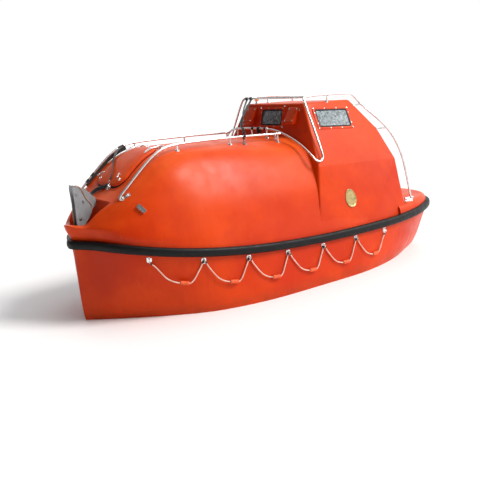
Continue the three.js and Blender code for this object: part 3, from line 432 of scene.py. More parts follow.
# Materials
class Finish:
    """A small writer for a node material; object coordinates are metres in the row frame."""

    def __init__(self, name):
        self.material = bpy.data.materials.new(name)
        self.material.use_nodes = True
        self.tree = self.material.node_tree
        self.surface = self.tree.nodes["Principled BSDF"]
        self.where = self.tree.nodes.new("ShaderNodeTexCoord").outputs["Object"]

    def link(self, value, socket):
        if isinstance(value, bpy.types.NodeSocket):
            self.tree.links.new(value, socket)
        elif hasattr(socket.default_value, "__len__") and not hasattr(value, "__len__"):
            socket.default_value = (value, value, value, 1)[:len(socket.default_value)]
        elif hasattr(value, "__len__") and len(value) == 3 and len(socket.default_value) == 4:
            socket.default_value = (*value, 1)
        else:
            socket.default_value = value

    def set(self, **values):
        for name, value in values.items():
            self.link(value, self.surface.inputs[name.replace("_", " ")])
        return self

    def scaled(self, scale):
        node = self.tree.nodes.new("ShaderNodeMapping")
        node.inputs["Scale"].default_value = scale if hasattr(scale, "__len__") else (scale,) * 3
        self.tree.links.new(self.where, node.inputs["Vector"])
        return node.outputs["Vector"]

    def noise(self, scale, detail=3.0, roughness=.55, twist=0.0):
        node = self.tree.nodes.new("ShaderNodeTexNoise")
        node.inputs["Scale"].default_value = 1
        node.inputs["Detail"].default_value = detail
        node.inputs["Roughness"].default_value = roughness
        node.inputs["Distortion"].default_value = twist
        self.tree.links.new(self.scaled(scale), node.inputs["Vector"])
        return node.outputs["Fac"]

    def cells(self, scale, feature="F1"):
        node = self.tree.nodes.new("ShaderNodeTexVoronoi")
        node.feature = feature
        node.inputs["Scale"].default_value = 1
        self.tree.links.new(self.scaled(scale), node.inputs["Vector"])
        return node.outputs["Distance"]

    def waves(self, scale, direction="X", twist=0.0):
        node = self.tree.nodes.new("ShaderNodeTexWave")
        node.bands_direction = direction
        node.inputs["Scale"].default_value = scale
        node.inputs["Distortion"].default_value = twist
        self.tree.links.new(self.where, node.inputs["Vector"])
        return node.outputs["Fac"]

    def sum(self, way, a, b, clamp=False):
        node = self.tree.nodes.new("ShaderNodeMath")
        node.operation = way
        node.use_clamp = clamp
        self.link(a, node.inputs[0])
        self.link(b, node.inputs[1])
        return node.outputs[0]

    def band(self, value, low, high, to_low=0.0, to_high=1.0):
        node = self.tree.nodes.new("ShaderNodeMapRange")
        node.interpolation_type = "SMOOTHSTEP"
        self.link(value, node.inputs["Value"])
        for name, number in (("From Min", low), ("From Max", high), ("To Min", to_low), ("To Max", to_high)):
            node.inputs[name].default_value = number
        return node.outputs["Result"]

    def mix(self, share, a, b, way="MIX"):
        node = self.tree.nodes.new("ShaderNodeMix")
        node.data_type = "RGBA"
        node.blend_type = way
        self.link(share, node.inputs["Factor"])
        self.link(a, node.inputs["A"])
        self.link(b, node.inputs["B"])
        return node.outputs["Result"]

    def axis(self, which, source="Object"):
        node = self.tree.nodes.new("ShaderNodeSeparateXYZ")
        if source == "Normal":
            self.tree.links.new(self.tree.nodes.new("ShaderNodeNewGeometry").outputs["Normal"], node.inputs[0])
        else:
            self.tree.links.new(self.where, node.inputs[0])
        return node.outputs[which]

    def bump(self, *layers):
        """Each layer is (height, strength, distance); the last is on top."""
        below = None
        for height, strength, distance in layers:
            node = self.tree.nodes.new("ShaderNodeBump")
            node.inputs["Strength"].default_value = strength
            node.inputs["Distance"].default_value = distance
            self.link(height, node.inputs["Height"])
            if below:
                self.tree.links.new(below, node.inputs["Normal"])
            below = node.outputs["Normal"]
        self.tree.links.new(below, self.surface.inputs["Normal"])
        return self


def gelcoat():
    f = Finish("gelcoat")
    deep, base, fade_and_painted_highlight = (.52, .026, .001), (.66, .050, .002), (.84, .115, .018)
    clouds = f.noise(1.1, 4)
    streaks = f.noise((26, 26, .9), 4, .6)
    # Painted highlight: upward-facing gelcoat is mixed towards a paler pink. It stands in for the sunlit, overexposed
    # crest, with some sun-fade.
    top = f.band(f.axis("Z", "Normal"), .1, .95)
    colour = f.mix(f.band(clouds, .35, .65), base, deep)
    colour = f.mix(f.sum("MULTIPLY", top, f.band(f.noise(2.3, 3), .35, .75, .25, .9)), colour, fade_and_painted_highlight)
    side = f.sum("SUBTRACT", 1.0, top, True)
    runs = f.sum("MULTIPLY", f.band(streaks, .52, .75), side)
    colour = f.mix(f.sum("MULTIPLY", runs, .32), colour, (.50, .030, .005))
    pale = f.sum("MULTIPLY", f.band(f.noise((34, 34, 1.2), 3, .6, .4), .60, .80), side)
    colour = f.mix(f.sum("MULTIPLY", pale, .16), colour, (.88, .17, .045))
    height = f.axis("Z")
    # Painted shade: the gelcoat is darkened in patches towards the waterline. This stands in for the shaded lower
    # hull and its reflection of dark water.
    low_painted_shade = f.sum("MULTIPLY", f.band(height, .16, .01), f.band(f.noise((9, 9, 22), 4), .35, .6, .2, .75))
    colour = f.mix(f.sum("MULTIPLY", low_painted_shade, .55), colour, (.25, .045, .012))
    dirt = f.band(f.noise(14, 5, .65), .60, .78, 0, .30)
    colour = f.mix(dirt, colour, (.42, .045, .012))
    f.set(Base_Color=colour, Roughness=f.sum("ADD", f.band(f.noise(7, 4), .3, .7, .30, .44), f.sum("MULTIPLY", runs, .12)),
          Coat_Weight=.04, Coat_Roughness=.16, Specular_IOR_Level=.14)
    f.bump((f.noise(2.6, 2), .32, .010), (f.noise((7, 7, 2), 2), .12, .004), (f.noise(260, 2), .05, .0005))
    return f.material


def liner():
    f = Finish("liner")
    stain = f.noise(3.2, 5, .6)
    colour = f.mix(f.band(stain, .4, .75, 0, .5), (.70, .68, .62), (.48, .45, .38))
    colour = f.mix(f.band(f.noise(60, 3), .62, .8, 0, .35), colour, (.34, .31, .26))
    f.set(Base_Color=colour, Roughness=f.band(f.noise(11, 4), .3, .7, .42, .66), Coat_Weight=.12)
    f.bump((f.noise(90, 4, .7), .25, .0012), (f.cells(330), .12, .0005))
    return f.material


def rubber():
    f = Finish("fender_rubber")
    scuff = f.noise((5, 5, 40), 5, .6)
    top = f.band(f.axis("Z", "Normal"), .2, .9)
    colour = f.mix(f.sum("MULTIPLY", top, f.band(f.noise(8, 4), .3, .7, .25, .9)), (.0035, .0035, .004), (.010, .0095, .009))
    colour = f.mix(f.band(scuff, .62, .76, 0, .35), colour, (.030, .028, .027))
    f.set(Base_Color=colour, Roughness=f.band(f.noise(18, 4), .3, .7, .36, .60), Specular_IOR_Level=.22)
    f.bump((f.noise((2.2, 2.2, 6), 3), .5, .006), (f.noise(150, 4, .7), .3, .0008))
    return f.material


def stainless(name="stainless", tint=(.80, .80, .79), rough=(.13, .30)):
    f = Finish(name)
    smear = f.noise(16, 4)
    colour = f.mix(f.band(smear, .45, .75, 0, .5), tint, (.47, .46, .44))
    tea = f.band(f.noise(31, 5, .7), .66, .80, 0, .45)
    colour = f.mix(tea, colour, (.36, .20, .10))
    f.set(Base_Color=colour, Metallic=1.0, Roughness=f.sum("ADD", f.band(f.noise(48, 3), .3, .7, *rough), f.sum("MULTIPLY", tea, .3)))
    f.bump((f.noise((420, 420, 30), 2), .06, .0004), (f.noise(22, 2), .05, .002))
    return f.material


def painted_steel():
    f = Finish("painted_steel")
    worn = f.band(f.noise(38, 6, .68), .60, .68)
    rust = f.band(f.noise(21, 6, .72), .64, .74)
    colour = f.mix(f.band(f.noise(9, 4), .3, .7), (.27, .275, .285), (.20, .205, .215))
    colour = f.mix(f.sum("MULTIPLY", worn, .7), colour, (.40, .40, .40))
    colour = f.mix(f.sum("MULTIPLY", rust, .75), colour, (.20, .085, .035))
    f.set(Base_Color=colour, Metallic=f.sum("MULTIPLY", worn, .6), Roughness=f.band(f.noise(27, 4), .3, .7, .42, .66))
    f.bump((f.noise(70, 5, .7), .35, .0012), (worn, .4, -.0005))
    return f.material


def bronze():
    f = Finish("bronze")
    patina = f.noise(26, 6, .65)
    colour = f.mix(f.band(patina, .42, .68), (.44, .33, .14), (.23, .20, .10))
    colour = f.mix(f.band(f.noise(70, 4), .62, .75, 0, .5), colour, (.15, .22, .15))
    f.set(Base_Color=colour, Metallic=.85, Roughness=f.band(patina, .3, .7, .32, .58))
    f.bump((f.noise(120, 4, .65), .3, .0008),)
    return f.material


def glass():
    f = Finish("window_glass")
    mottle = f.noise((30, 30, 26), 5, .68, .6)
    blots = f.noise((62, 62, 60), 3, .6)
    colour = f.mix(f.band(mottle, .38, .62), (.42, .52, .56), (.15, .19, .21))
    colour = f.mix(f.band(blots, .52, .66, 0, .6), colour, (.62, .70, .72))
    f.set(Base_Color=colour, Roughness=f.band(blots, .3, .7, .05, .16), IOR=1.5,
          Transmission_Weight=f.band(mottle, .35, .7, .45, .72), Specular_IOR_Level=.7, Coat_Weight=.5, Coat_Roughness=.03)
    f.bump((f.noise((17, 17, 15), 3, .6, .8), .35, .006), (f.noise(70, 2), .1, .001))
    return f.material


def rope():
    f = Finish("rope")
    dirt = f.noise(13, 5, .65)
    colour = f.mix(f.band(dirt, .35, .68), (.78, .57, .48), (.58, .34, .25))
    colour = f.mix(f.band(f.noise(420, 2), .45, .7, 0, .5), colour, (.86, .72, .64))
    f.set(Base_Color=colour, Roughness=.86, Sheen_Weight=.3, Sheen_Roughness=.5, Specular_IOR_Level=.25)
    f.bump((f.noise(620, 3, .7), .5, .0010),)
    return f.material


def foam():
    f = Finish("float_foam")
    colour = f.mix(f.band(f.noise(24, 4), .35, .7), (.86, .115, .018), (.66, .075, .015))
    colour = f.mix(f.band(f.noise(90, 4, .7), .60, .74, 0, .6), colour, (.35, .06, .02))
    f.set(Base_Color=colour, Roughness=f.band(f.noise(33, 3), .3, .7, .42, .68))
    f.bump((f.cells(520), .35, .0006), (f.noise(60, 4), .25, .0012))
    return f.material


def webbing():
    f = Finish("webbing")
    weave = f.sum("MULTIPLY", f.waves(105, "Z"), f.waves(105, "DIAGONAL"))
    dust = f.noise(40, 4)
    colour = f.mix(f.band(dust, .4, .75), (.012, .012, .013), (.045, .042, .040))
    colour = f.mix(f.sum("MULTIPLY", weave, .5), colour, (.03, .03, .032))
    f.set(Base_Color=colour, Roughness=.82, Sheen_Weight=.25, Specular_IOR_Level=.3)
    f.bump((weave, .55, .0009), (f.noise(700, 2), .3, .0004))
    return f.material


def iron():
    f = Finish("engine_iron")
    oil = f.noise(9, 5, .6)
    colour = f.mix(f.band(oil, .4, .7), (.075, .115, .125), (.025, .03, .03))
    colour = f.mix(f.band(f.noise(45, 5, .7), .62, .72), colour, (.16, .09, .05))
    f.set(Base_Color=colour, Roughness=f.band(oil, .3, .7, .38, .62), Metallic=.3)
    f.bump((f.noise(80, 4, .65), .4, .0015),)
    return f.material


def vinyl():
    f = Finish("cushion")
    colour = f.mix(f.band(f.noise(7, 4), .35, .7), (.024, .026, .030), (.050, .050, .052))
    f.set(Base_Color=colour, Roughness=f.band(f.noise(21, 3), .3, .7, .42, .60), Specular_IOR_Level=.4)
    f.bump((f.cells(260, "DISTANCE_TO_EDGE"), .35, .0009), (f.noise(9, 3), .2, .004))
    return f.material


def amber():
    f = Finish("amber_lamp")
    ribs = f.waves(26, "Z")
    colour = f.mix(f.sum("MULTIPLY", ribs, .35), (1.0, .42, .04), (.80, .22, .01))
    f.set(Base_Color=colour, Roughness=f.band(f.noise(30, 3), .3, .7, .10, .24), Transmission_Weight=.45, IOR=1.48,
          Emission_Color=(1.0, .35, .02), Emission_Strength=.12)
    f.bump((ribs, .5, .0012),)
    return f.material


def copper():
    f = Finish("lanyard")
    lay = f.waves(110, "DIAGONAL")
    colour = f.mix(f.band(f.noise(60, 3), .35, .7), (.55, .24, .09), (.36, .15, .06))
    f.set(Base_Color=colour, Roughness=.55, Metallic=.25)
    f.bump((lay, .6, .0008),)
    return f.material


def floor_paint():
    f = Finish("floor")
    colour = f.mix(f.band(f.noise(.7, 4), .3, .7), (.97, .97, .97), (.955, .957, .96))
    f.set(Base_Color=colour, Roughness=.62, Specular_IOR_Level=.3)
    f.bump((f.noise(40, 3), .06, .002),)
    return f.material


GELCOAT, LINER, RUBBER, STEEL = gelcoat(), liner(), rubber(), stainless()
PAINTED, BRONZE, GLASS, ROPE = painted_steel(), bronze(), glass(), rope()
FOAM, WEBBING, IRON, VINYL = foam(), webbing(), iron(), vinyl()
AMBER, COPPER, FLOOR = amber(), copper(), floor_paint()
DARK_STEEL = stainless("dark_steel", (.33, .33, .34), (.26, .48))


# Lifelines first, on the route of their solids
LIFELINE = {"eyes": (1.979, 1.467, .955, .443, -.069, -.581, -1.093), "drop": .090, "stand": .017, "radius": .007}
LOOP = [(0, 0, .004), (.09, .3, .008), (.28, .82, .014), (.47, .985, .017), (.69, 1, .017), (.91, .32, .008)]
SAG, EYE_END, FLOAT_SPAN, FLOAT_LENGTH = .235, .029, 3, .098


def station_at(x):
    low, high = 0.0, float(LAST)
    for _ in range(40):
        middle = (low + high) / 2
        if sheer_column(middle)[0] > x:
            low = middle
        else:
            high = middle
    return low


def skin(station, z, outwards=0.0):
    half = hull_half(station, 2)
    below = next(i for i, p in enumerate(half) if p[2] <= z)
    a, b = half[below - 1], half[below]
    point = a + (b - a) * ((a[2] - z) / (a[2] - b[2]))
    normal = (sheer(station, 1) - sheer(station)) * (1, 1, 0)
    return point + normal * outwards


def eye_place(x):
    station = station_at(x)
    return skin(station, sheer(station)[2] - LIFELINE["drop"], LIFELINE["stand"])


def lifeline_route():
    route = []
    xs = LIFELINE["eyes"]
    for x0, x1 in zip(xs, xs[1:]):
        a, b = eye_place(x0), eye_place(x1)
        for share, sag, out in LOOP:
            x = x0 + share * (x1 - x0)
            z = a[2] + share * (b[2] - a[2]) - sag * SAG
            hanging = eye_place(x)
            clear = skin(station_at(x), z, LIFELINE["radius"] + out)
            route.append(np.array((hanging[0], max(hanging[1], clear[1]), z)))
    route.append(eye_place(xs[-1]))
    route[0] = route[0] - (0, 0, EYE_END)
    route[-1] = route[-1] - (0, 0, EYE_END)
    return route


def rope_line(route, fine=8):
    """Smooth but for the straight stretch inside each float"""
    curve = catmull(route)
    points = []
    for i in range(len(route) - 1):
        straight = i % len(LOOP) == FLOAT_SPAN
        for k in range(fine):
            share = k / fine
            bent = curve((i + share) / (len(route) - 1))
            points.append(route[i] + (route[i + 1] - route[i]) * share if straight else bent)
    points.append(route[-1])
    return points


def laid_rope_bm(points, radius, pitch=.052, strands=3, sides=15, step=.0042):
    """Rope of laid strands: a lobed section that turns along the line."""
    line = even(points, step)
    pts, square = frames_along(line)
    bm = bmesh.new()
    rings, turn, before = [], 0.0, pts[0]
    for p, (a, b) in zip(pts, square):
        turn += (p - before).length / pitch * 2 * math.pi
        before = p
        ring = []
        for q in range(sides):
            angle = q * 2 * math.pi / sides
            lobe = abs(math.cos((angle - turn) * strands / 2))
            r = radius * (.80 + .20 * lobe ** .6)
            ring.append(bm.verts.new(p + a * r * math.cos(angle) + b * r * math.sin(angle)))
        rings.append(ring)
    for one, two in zip(rings, rings[1:]):
        for j in range(sides):
            k = (j + 1) % sides
            bm.faces.new((one[j], one[k], two[k], two[j]))
    bm.faces.new(list(reversed(rings[0])))
    bm.faces.new(rings[-1])
    bmesh.ops.recalc_face_normals(bm, faces=bm.faces)
    return bm


def even(points, step):
    """The line at even steps"""
    pts = np.array([tuple(p) for p in points])
    lengths = np.concatenate(([0], np.cumsum(np.linalg.norm(np.diff(pts, axis=0), axis=1))))
    count = max(int(lengths[-1] / step), 2)
    at = np.linspace(0, lengths[-1], count + 1)
    return [Vector([np.interp(a, lengths, pts[:, i]) for i in range(3)]) for a in at]


def length_of(points):
    pts = np.array([tuple(p) for p in points])
    return float(np.linalg.norm(np.diff(pts, axis=0), axis=1).sum())


route = lifeline_route()
line = rope_line(route)
for side, word in ((1, "port"), (-1, "starboard")):
    path = [p * (1, side, 1) for p in line]
    piece = object_of(laid_rope_bm(path, LIFELINE["radius"]), f"rope_{word}")
    finish(piece, "boat", "rope", ROPE, replaces=[f"lifeline_{word}"], angle=70)
    floats, seizings = [], []
    for k in range(len(LIFELINE["eyes"]) - 1):
        a, b = (Vector(route[k * len(LOOP) + FLOAT_SPAN + i] * (1, side, 1)) for i in (0, 1))
        middle, along = (a + b) / 2, (b - a).normalized()
        profile = [(-.049, .0078), (-.049, .0165), (-.046, .0198), (-.040, .021), (-.014, .021), (-.012, .0199),
                   (-.009, .0199), (-.007, .021), (.007, .021), (.009, .0199), (.012, .0199), (.014, .021),
                   (.040, .021), (.046, .0198), (.049, .0165), (.049, .0078)]
        shape = turned_bm(middle, along, profile, 18)
        piece_float = object_of(shape, f"float_{word}_{k + 1}_foam")
        finish(piece_float, "boat", "float_foam", FOAM, replaces=[f"float_{word}_{k + 1}"], angle=40)
        floats.append(piece_float)
    length_of(path)


# Hull: a shell with a lined space inside
def hull_space():
    rings = []
    for s in span(2, 9, 8):
        inside = [p * 1.0 for p in hull_half(s, 5)]
        for p in inside:
            p[1] = max(p[1] - .045, 0)
        inside[0][2] += .2
        floor = inside[-2][2] + .060
        for p in inside[2:]:
            p[2] = max(p[2], floor)
        rings.append(whole(inside))
    return loft_bm(rings, (True, True))


def mark_inside(obj, tool, index, reach=.0006):
    """Faces that lie on the cutting form get another material."""
    tree = BVHTree.FromBMesh(tool)
    for face in obj.data.polygons:
        near = tree.find_nearest(face.center)
        if near[0] is not None and near[3] < reach:
            face.material_index = index


def apply_cut(obj, tool_bm, index=1):
    keep = tool_bm.copy()
    combine(obj, [object_of(tool_bm, "tool")], "DIFFERENCE")
    if index is not None:
        mark_inside(obj, keep, index)
    keep.free()


hull = object_of(loft_bm([whole(hull_half(s, 9)) for s in span(0, LAST, 12)]), "hull")
for material in (GELCOAT, LINER):
    hull.data.materials.append(material)
apply_cut(hull, hull_space())
indices = [p.material_index for p in hull.data.polygons]
finish(hull, "boat", "gelcoat", GELCOAT, LINER, replaces=["hull_shell"])
hull.data.polygons.foreach_set("material_index", indices)

# Eyes for the lifelines, with the lashings on the rope beside them
eyes, lashings = [], []
for side in (1, -1):
    for x in LIFELINE["eyes"]:
        at = Vector(eye_place(x) * (1, side, 1))
        ahead, behind = sheer(station_at(x + .02)), sheer(station_at(x - .02))
        along = Vector(((ahead - behind) * (1, side, 0))).normalized()
        out = Vector((along.y, -along.x, 0)) * (-1 if side > 0 else 1)
        if out.y * side < 0:
            out.negate()
        up = Vector((0, 0, 1))
        circle = [at + out * .017 * math.cos(q * math.pi / 12) + up * .017 * math.sin(q * math.pi / 12) for q in range(24)]
        eyes.append(tube_bm(circle, .005, 10, closed=True))
        pad = place(at - out * .0165, along, up)
        eyes.append(round_edges(prism_bm(rounded(.052, .062, .014, 4), -.004, .004, pad), .0012, 2))
        for v in (-.022, .022):
            eyes.append(bolt_bm(at - out * .0125 + up * v, out, .0045, .004))
piece = several("lifeline_eyes", eyes)
finish(piece, "boat", "stainless", STEEL)
for side in (1, -1):
    for k in range(len(LIFELINE["eyes"])):
        centre = min(range(len(line)), key=lambda i: np.linalg.norm(line[i] - eye_place(LIFELINE["eyes"][k])))
        for low, high in ((centre - 4, centre - 1), (centre + 1, centre + 4)):
            stretch = [Vector(p * (1, side, 1)) for p in line[max(low, 0):min(high, len(line) - 1) + 1]]
            if len(stretch) < 2:
                continue
            fine = even(stretch, .0012)
            lashings.append(tube_bm(fine, lambda t: .0082 + .0007 * math.sin(t * 120), 10))
piece = several("lifeline_lashings", lashings)
finish(piece, "boat", "webbing", WEBBING, angle=60)


# Canopy: fore body, helm tower and stern deck, with the spaces inside
TOWER = {
    "roof_front": (-.395, .526, 1.997), "roof_aft": (-1.113, .546, 1.972), "mid_aft": (-1.388, .725, 1.602),
    "crease_front": (-.226, .894, 1.296), "crease_aft": (-1.512, .883, 1.230), "base_front": (-.034, 1.068, .500),
    "base_mid": (-.800, 1.075, .500), "base_aft": (-1.615, .958, .500),
}


def tower_bm(length=1.0, width=1.0, roof=0.0):
    bm = bmesh.new()
    for x, y, z in TOWER.values():
        for side in (1, -1):
            bm.verts.new((-.880 + (x + .880) * length, y * width * side, z - roof if z > .6 else z - .06))
    bmesh.ops.convex_hull(bm, input=bm.verts)
    bmesh.ops.dissolve_limit(bm, angle_limit=.6 * RAD, verts=bm.verts, edges=bm.edges)
    bmesh.ops.recalc_face_normals(bm, faces=bm.faces)
    return bm


def fore_space():
    rings = []
    for s in span(2, 7, 8):
        half = [p * 1.0 for p in canopy_half(s, 4)]
        for i, p in enumerate(half):
            p[1] = max(p[1] - .038, 0)
            p[2] = p[2] - .1 if i == 0 else max(p[2] - .038, .56)
        rings.append(whole(half))
    return loft_bm(rings, (True, True))


fore_bm = loft_bm([whole(canopy_half(s, 8, 6)) for s in span(0, 7, 16)], (False, True))
FORE = BVHTree.FromBMesh(fore_bm)
canopy = object_of(fore_bm, "canopy")
helm = tower_bm()
crease = lambda e: all(1.15 < v.co.z < 1.35 for v in e.verts)
round_edges(helm, .022, 5, 12, lambda e: not crease(e))
round_edges(helm, .010, 3, 12, lambda e: all(abs(v.co.y) > .8 for v in e.verts) and crease(e))
helm = object_of(helm, "helm")
outline = loft_bm([[np.array((p[0], p[1], p[2] + GAP)), np.array((p[0], p[1], 3)), np.array((p[0], -p[1], 3)),
                    np.array((p[0], -p[1], p[2] + GAP))] for p in (sheer(s) for s in span(0, LAST, 10))])
combine(helm, [object_of(outline, "outline")], "INTERSECT")
deck = object_of(loft_bm([whole(deck_half(s)) for s in span(7, LAST, 10)], (True, False)), "deck")
combine(deck, [object_of(block_bm((-1.44, -1.3, .3), (.5, 1.3, 1)), "cut")], "DIFFERENCE")
combine(canopy, [helm, deck], "UNION")
for material in (GELCOAT, LINER):
    canopy.data.materials.append(material)
space = object_of(fore_space(), "space")
combine(space, [object_of(block_bm((2.125 - .05, -1.2, .3), (3, 1.2, 2.4)), "cut")], "DIFFERENCE")
combine(space, [object_of(tower_bm(.945, .957, .038), "tower_space")], "UNION")
tool = bmesh.new()
tool.from_mesh(space.data)
bpy.data.objects.remove(space)
apply_cut(canopy, tool)

WELL = [(2.455, 0), (2.362, .182), (2.315, .232), (2.125, .305)]
well = [(x, y) for x, y in WELL] + [(x, -y) for x, y in reversed(WELL[1:])]
well_bm = prism_bm(well, .885, 1.5)
round_edges(well_bm, .022, 4, 20, lambda e: min(v.co.z for v in e.verts) < 1.4)
apply_cut(canopy, well_bm, None)

TOWER_FRONT = place((-.358, 0, 1.835), (0, 1, 0), (-.2343, 0, .9722))
TOWER_PORT = place((-.745, .633, 1.788), (-.9965, .0371, -.0750), (-.0837, -.4414, .8934))
TOWER_STARBOARD = place((-.745, -.633, 1.788), (.9965, .0371, .0750), (-.0837, .4414, .8934))
AFT_HIGH = place((-1.251, 0, 1.787), (0, -1, 0), (.5966, 0, .8026))
AFT_LOW = place((-1.551, 0, .955), (0, -1, 0), (.1397, 0, .9902))
WINDOWS = [
    ("front", TOWER_FRONT, .370, .190, .026), ("port", TOWER_PORT, .500, .225, .032),
    ("starboard", TOWER_STARBOARD, .500, .225, .032), ("aft", AFT_HIGH, .460, .230, .030),
]
for word, where, width, height, _ in WINDOWS:
    apply_cut(canopy, prism_bm(rounded(width + .004, height + .004, .027), -.14, .06, where), None)

# Forward hatch: its place on the slope
BROW = Vector((1.392, 0, 1.672))
down = (Vector((1.965, 0, 1.338)) - BROW).normalized()
LID = place(BROW + down * .340, (0, 1, 0), -down)
if LID["across"].cross(LID["up"]).z < 0:
    LID["across"].negate()
apply_cut(canopy, prism_bm(rounded(.430, .530, .060), -.26, .16, LID), None)
apply_cut(canopy, prism_bm(rounded(.410, .370, .040), -.14, .06, AFT_LOW), None)
indices = [p.material_index for p in canopy.data.polygons]
finish(canopy, "boat", "gelcoat", GELCOAT, LINER, replaces=["canopy_shell"])
canopy.data.polygons.foreach_set("material_index", indices)
body_bm = bmesh.new()
body_bm.from_mesh(canopy.data)
SKIN = BVHTree.FromBMesh(body_bm)
body_bm.free()


def drop(point, direction=(0, 0, -1), lift=0.0):
    """The canopy's surface below a point, and its normal"""
    hit = SKIN.ray_cast(Vector(point), Vector(direction).normalized())
    if hit[0] is None:
        return Vector(point), Vector((0, 0, 1))
    return hit[0] + hit[1] * lift, hit[1]


# Window frames, seals and their screws
for word, where, width, height, edge in WINDOWS:
    profile = [(0, -.030), (0, .0085), (.0025, .0115), (.006, .0125), (edge - .010, .0125), (edge - .004, .0105),
               (edge, .0055), (edge + .0015, -.006)]
    forms = [ring_bm(where, width, height, .026, profile, 8)]
    finish(several(f"window_frame_{word}", forms), "boat", "gelcoat", GELCOAT)
    seal = [(-.016, -.004), (-.017, .0075), (-.014, .0100), (-.006, .0105), (0, .0095), (0, -.004)]
    finish(object_of(ring_bm(where, width, height, .026, seal, 8), f"window_seal_{word}"), "boat", "fender_rubber", RUBBER)
    heads = []
    for u in (-1, -.34, .34, 1):
        for v in (-1, 1):
            heads.append((u * (width / 2 + edge * .5), v * (height / 2 + edge * .5)))
    for v in (-.3, .3):
        for u in (-1, 1):
            heads.append((u * (width / 2 + edge * .5), v * height))
    normal = where["across"].cross(where["up"])
    forms = [bolt_bm(on(where, u * .985, v * .985, .0120), normal, .0042, .004) for u, v in heads]
    finish(several(f"window_screws_{word}", forms), "boat", "stainless", STEEL)

# Fender
def fender_section(station, side):
    h, d = .045, .052
    section = [(GAP, -h), (d * .55, -h), (d * .72, -h * .95), (d * .88, -h * .74), (d * .97, -h * .42), (d, 0),
               (d * .97, h * .42), (d * .88, h * .74), (d * .72, h * .95), (d * .55, h), (GAP, h)]
    points = []
    for out, up in section:
        p = sheer(station, out)
        points.append(np.array((p[0], side * p[1], p[2] + up)))
    return points


rows = [fender_section(s, 1) for s in span(0, LAST, 14)] + [fender_section(s, -1) for s in reversed(span(0, LAST, 14)[1:-1])]
fender = object_of(loft_bm(rows + [rows[0]]), "fender_rubber")
finish(fender, "boat", "fender_rubber", RUBBER, replaces=["fender"], angle=50)


# Rails: one bent pipe each, with posts, feet and clamps
def pipe(points, fine=6):
    return smooth(points, fine)


HANDRAIL = [
    (2.086, .418, 1.266), (2.070, .420, 1.295), (1.964, .425, 1.390), (1.762, .425, 1.560), (1.660, .425, 1.634),
    (1.560, .425, 1.688), (1.460, .425, 1.717), (1.334, .425, 1.730), (.768, .432, 1.722), (.176, .455, 1.696),
    (-.050, .478, 1.684),
]


def along_rail(x):
    for a, b in zip(HANDRAIL, HANDRAIL[1:]):
        if b[0] <= x:
            t = (x - a[0]) / (b[0] - a[0])
            return Vector((x, a[1] + t * (b[1] - a[1]), a[2] + t * (b[2] - a[2])))
    return Vector(HANDRAIL[-1])


def flange_bm(at, normal, radius=.024, height=.007):
    return turned_bm(at, normal, [(-.012, radius), (height * .6, radius), (height, radius * .9),
                                  (height, radius * .55), (height * 2.2, radius * .45)], 20)


for side, word in ((1, "port"), (-1, "starboard")):
    flip = Vector((1, side, 1))
    forms = [tube_bm([p * (1, side, 1) for p in pipe(HANDRAIL)], .0125, 16)]
    for x in (1.334, .643, -.014):
        top = along_rail(x) * flip
        foot, normal = drop(top + Vector((0, 0, -.03)))
        forms.append(rod_bm(top, foot - Vector((0, 0, .01)), .009, 14))
        forms.append(flange_bm(foot, normal))
        forms.append(tube_bm([top + Vector((-.012, 0, 0)), top + Vector((.012, 0, 0))], .0150, 16))
    foot = Vector(HANDRAIL[0]) * flip
    hit, normal = drop(foot + Vector((-.02, 0, .03)), (-.35, 0, -.93))
    forms.append(flange_bm(hit, normal, .030, .009))
    piece = several(f"handrail_{word}_pipe", forms)
    finish(piece, "boat", "stainless", STEEL,
           replaces=[n for n in (f"handrail_{word}_{k}" for k in ("fore", "brow", "mid", "aft"))], angle=45)

TOWER_RAIL = [
    (-1.600, .935, .690), (-1.640, .950, .688), (-1.684, .952, .712), (-1.680, .945, .770), (-1.613, .880, 1.291),
    (-1.500, .780, 1.593), (-1.254, .602, 1.906), (-1.175, .552, 2.020), (-1.140, .548, 2.036), (-.420, .548, 2.064),
    (-.378, .552, 2.050), (-.366, .580, 2.006), (-.318, .868, 1.440), (-.305, .886, 1.385), (-.255, .893, 1.358),
    (-.208, .880, 1.374), (-.186, .835, 1.428), (-.160, .750, 1.512), (-.120, .620, 1.610), (-.070, .490, 1.684),
    (-.042, .380, 1.722), (-.030, .200, 1.738), (-.028, 0, 1.742),
]
BRACKETS = [
    ((-1.254, .602, 1.906), (-1.120, .540, 1.890)), ((-1.500, .780, 1.593), (-1.340, .690, 1.600)),
    ((-.760, .548, 2.050), (-.760, .520, 1.960)),
]
path = [np.array(p) for p in TOWER_RAIL] + [np.array((x, -y, z)) for x, y, z in reversed(TOWER_RAIL[:-1])]
forms = [tube_bm(pipe(path, 5), .0125, 16)]
forms.append(tube_bm([(-.396, -.548, 2.064), (-.396, .548, 2.064)], .0125, 16))
for y in (.270, 0, -.270):
    foot, normal = drop((-.030, y, 1.70))
    forms.append(rod_bm(Vector((-.030, y, 1.738)), foot - Vector((0, 0, .01)), .009, 14))
    forms.append(flange_bm(foot, normal))
    forms.append(tube_bm([(-.030, y - .014, 1.738), (-.030, y + .014, 1.738)], .0160, 16))
for side in (1, -1):
    for a, b in BRACKETS:
        a, b = Vector(a) * Vector((1, side, 1)), Vector(b) * Vector((1, side, 1))
        hit, normal = drop(a, b - a)
        forms.append(rod_bm(a, hit + (b - a).normalized() * .01, .009, 14))
        forms.append(flange_bm(hit, normal, .022))
    foot = Vector((-1.600, .935 * side, .690))
piece = several("tower_rail_pipe", forms)
finish(piece, "boat", "stainless", STEEL, replaces=[n for n in NODES if n.startswith("tower_rail_")], angle=45)


# CAD nodes whose shape is right keep it and get finishes, with softened edges.
def dress(name, material, slot=None, soften=0.0, segments=2):
    node = NODES[name]
    node.data.materials.clear()
    node.data.materials.append(material)
    if soften:
        edge = node.modifiers.new("edges", "BEVEL")
        edge.width = soften
        edge.segments = segments
        edge.limit_method = "ANGLE"
        edge.angle_limit = 32 * RAD
        edge.harden_normals = False
    return node


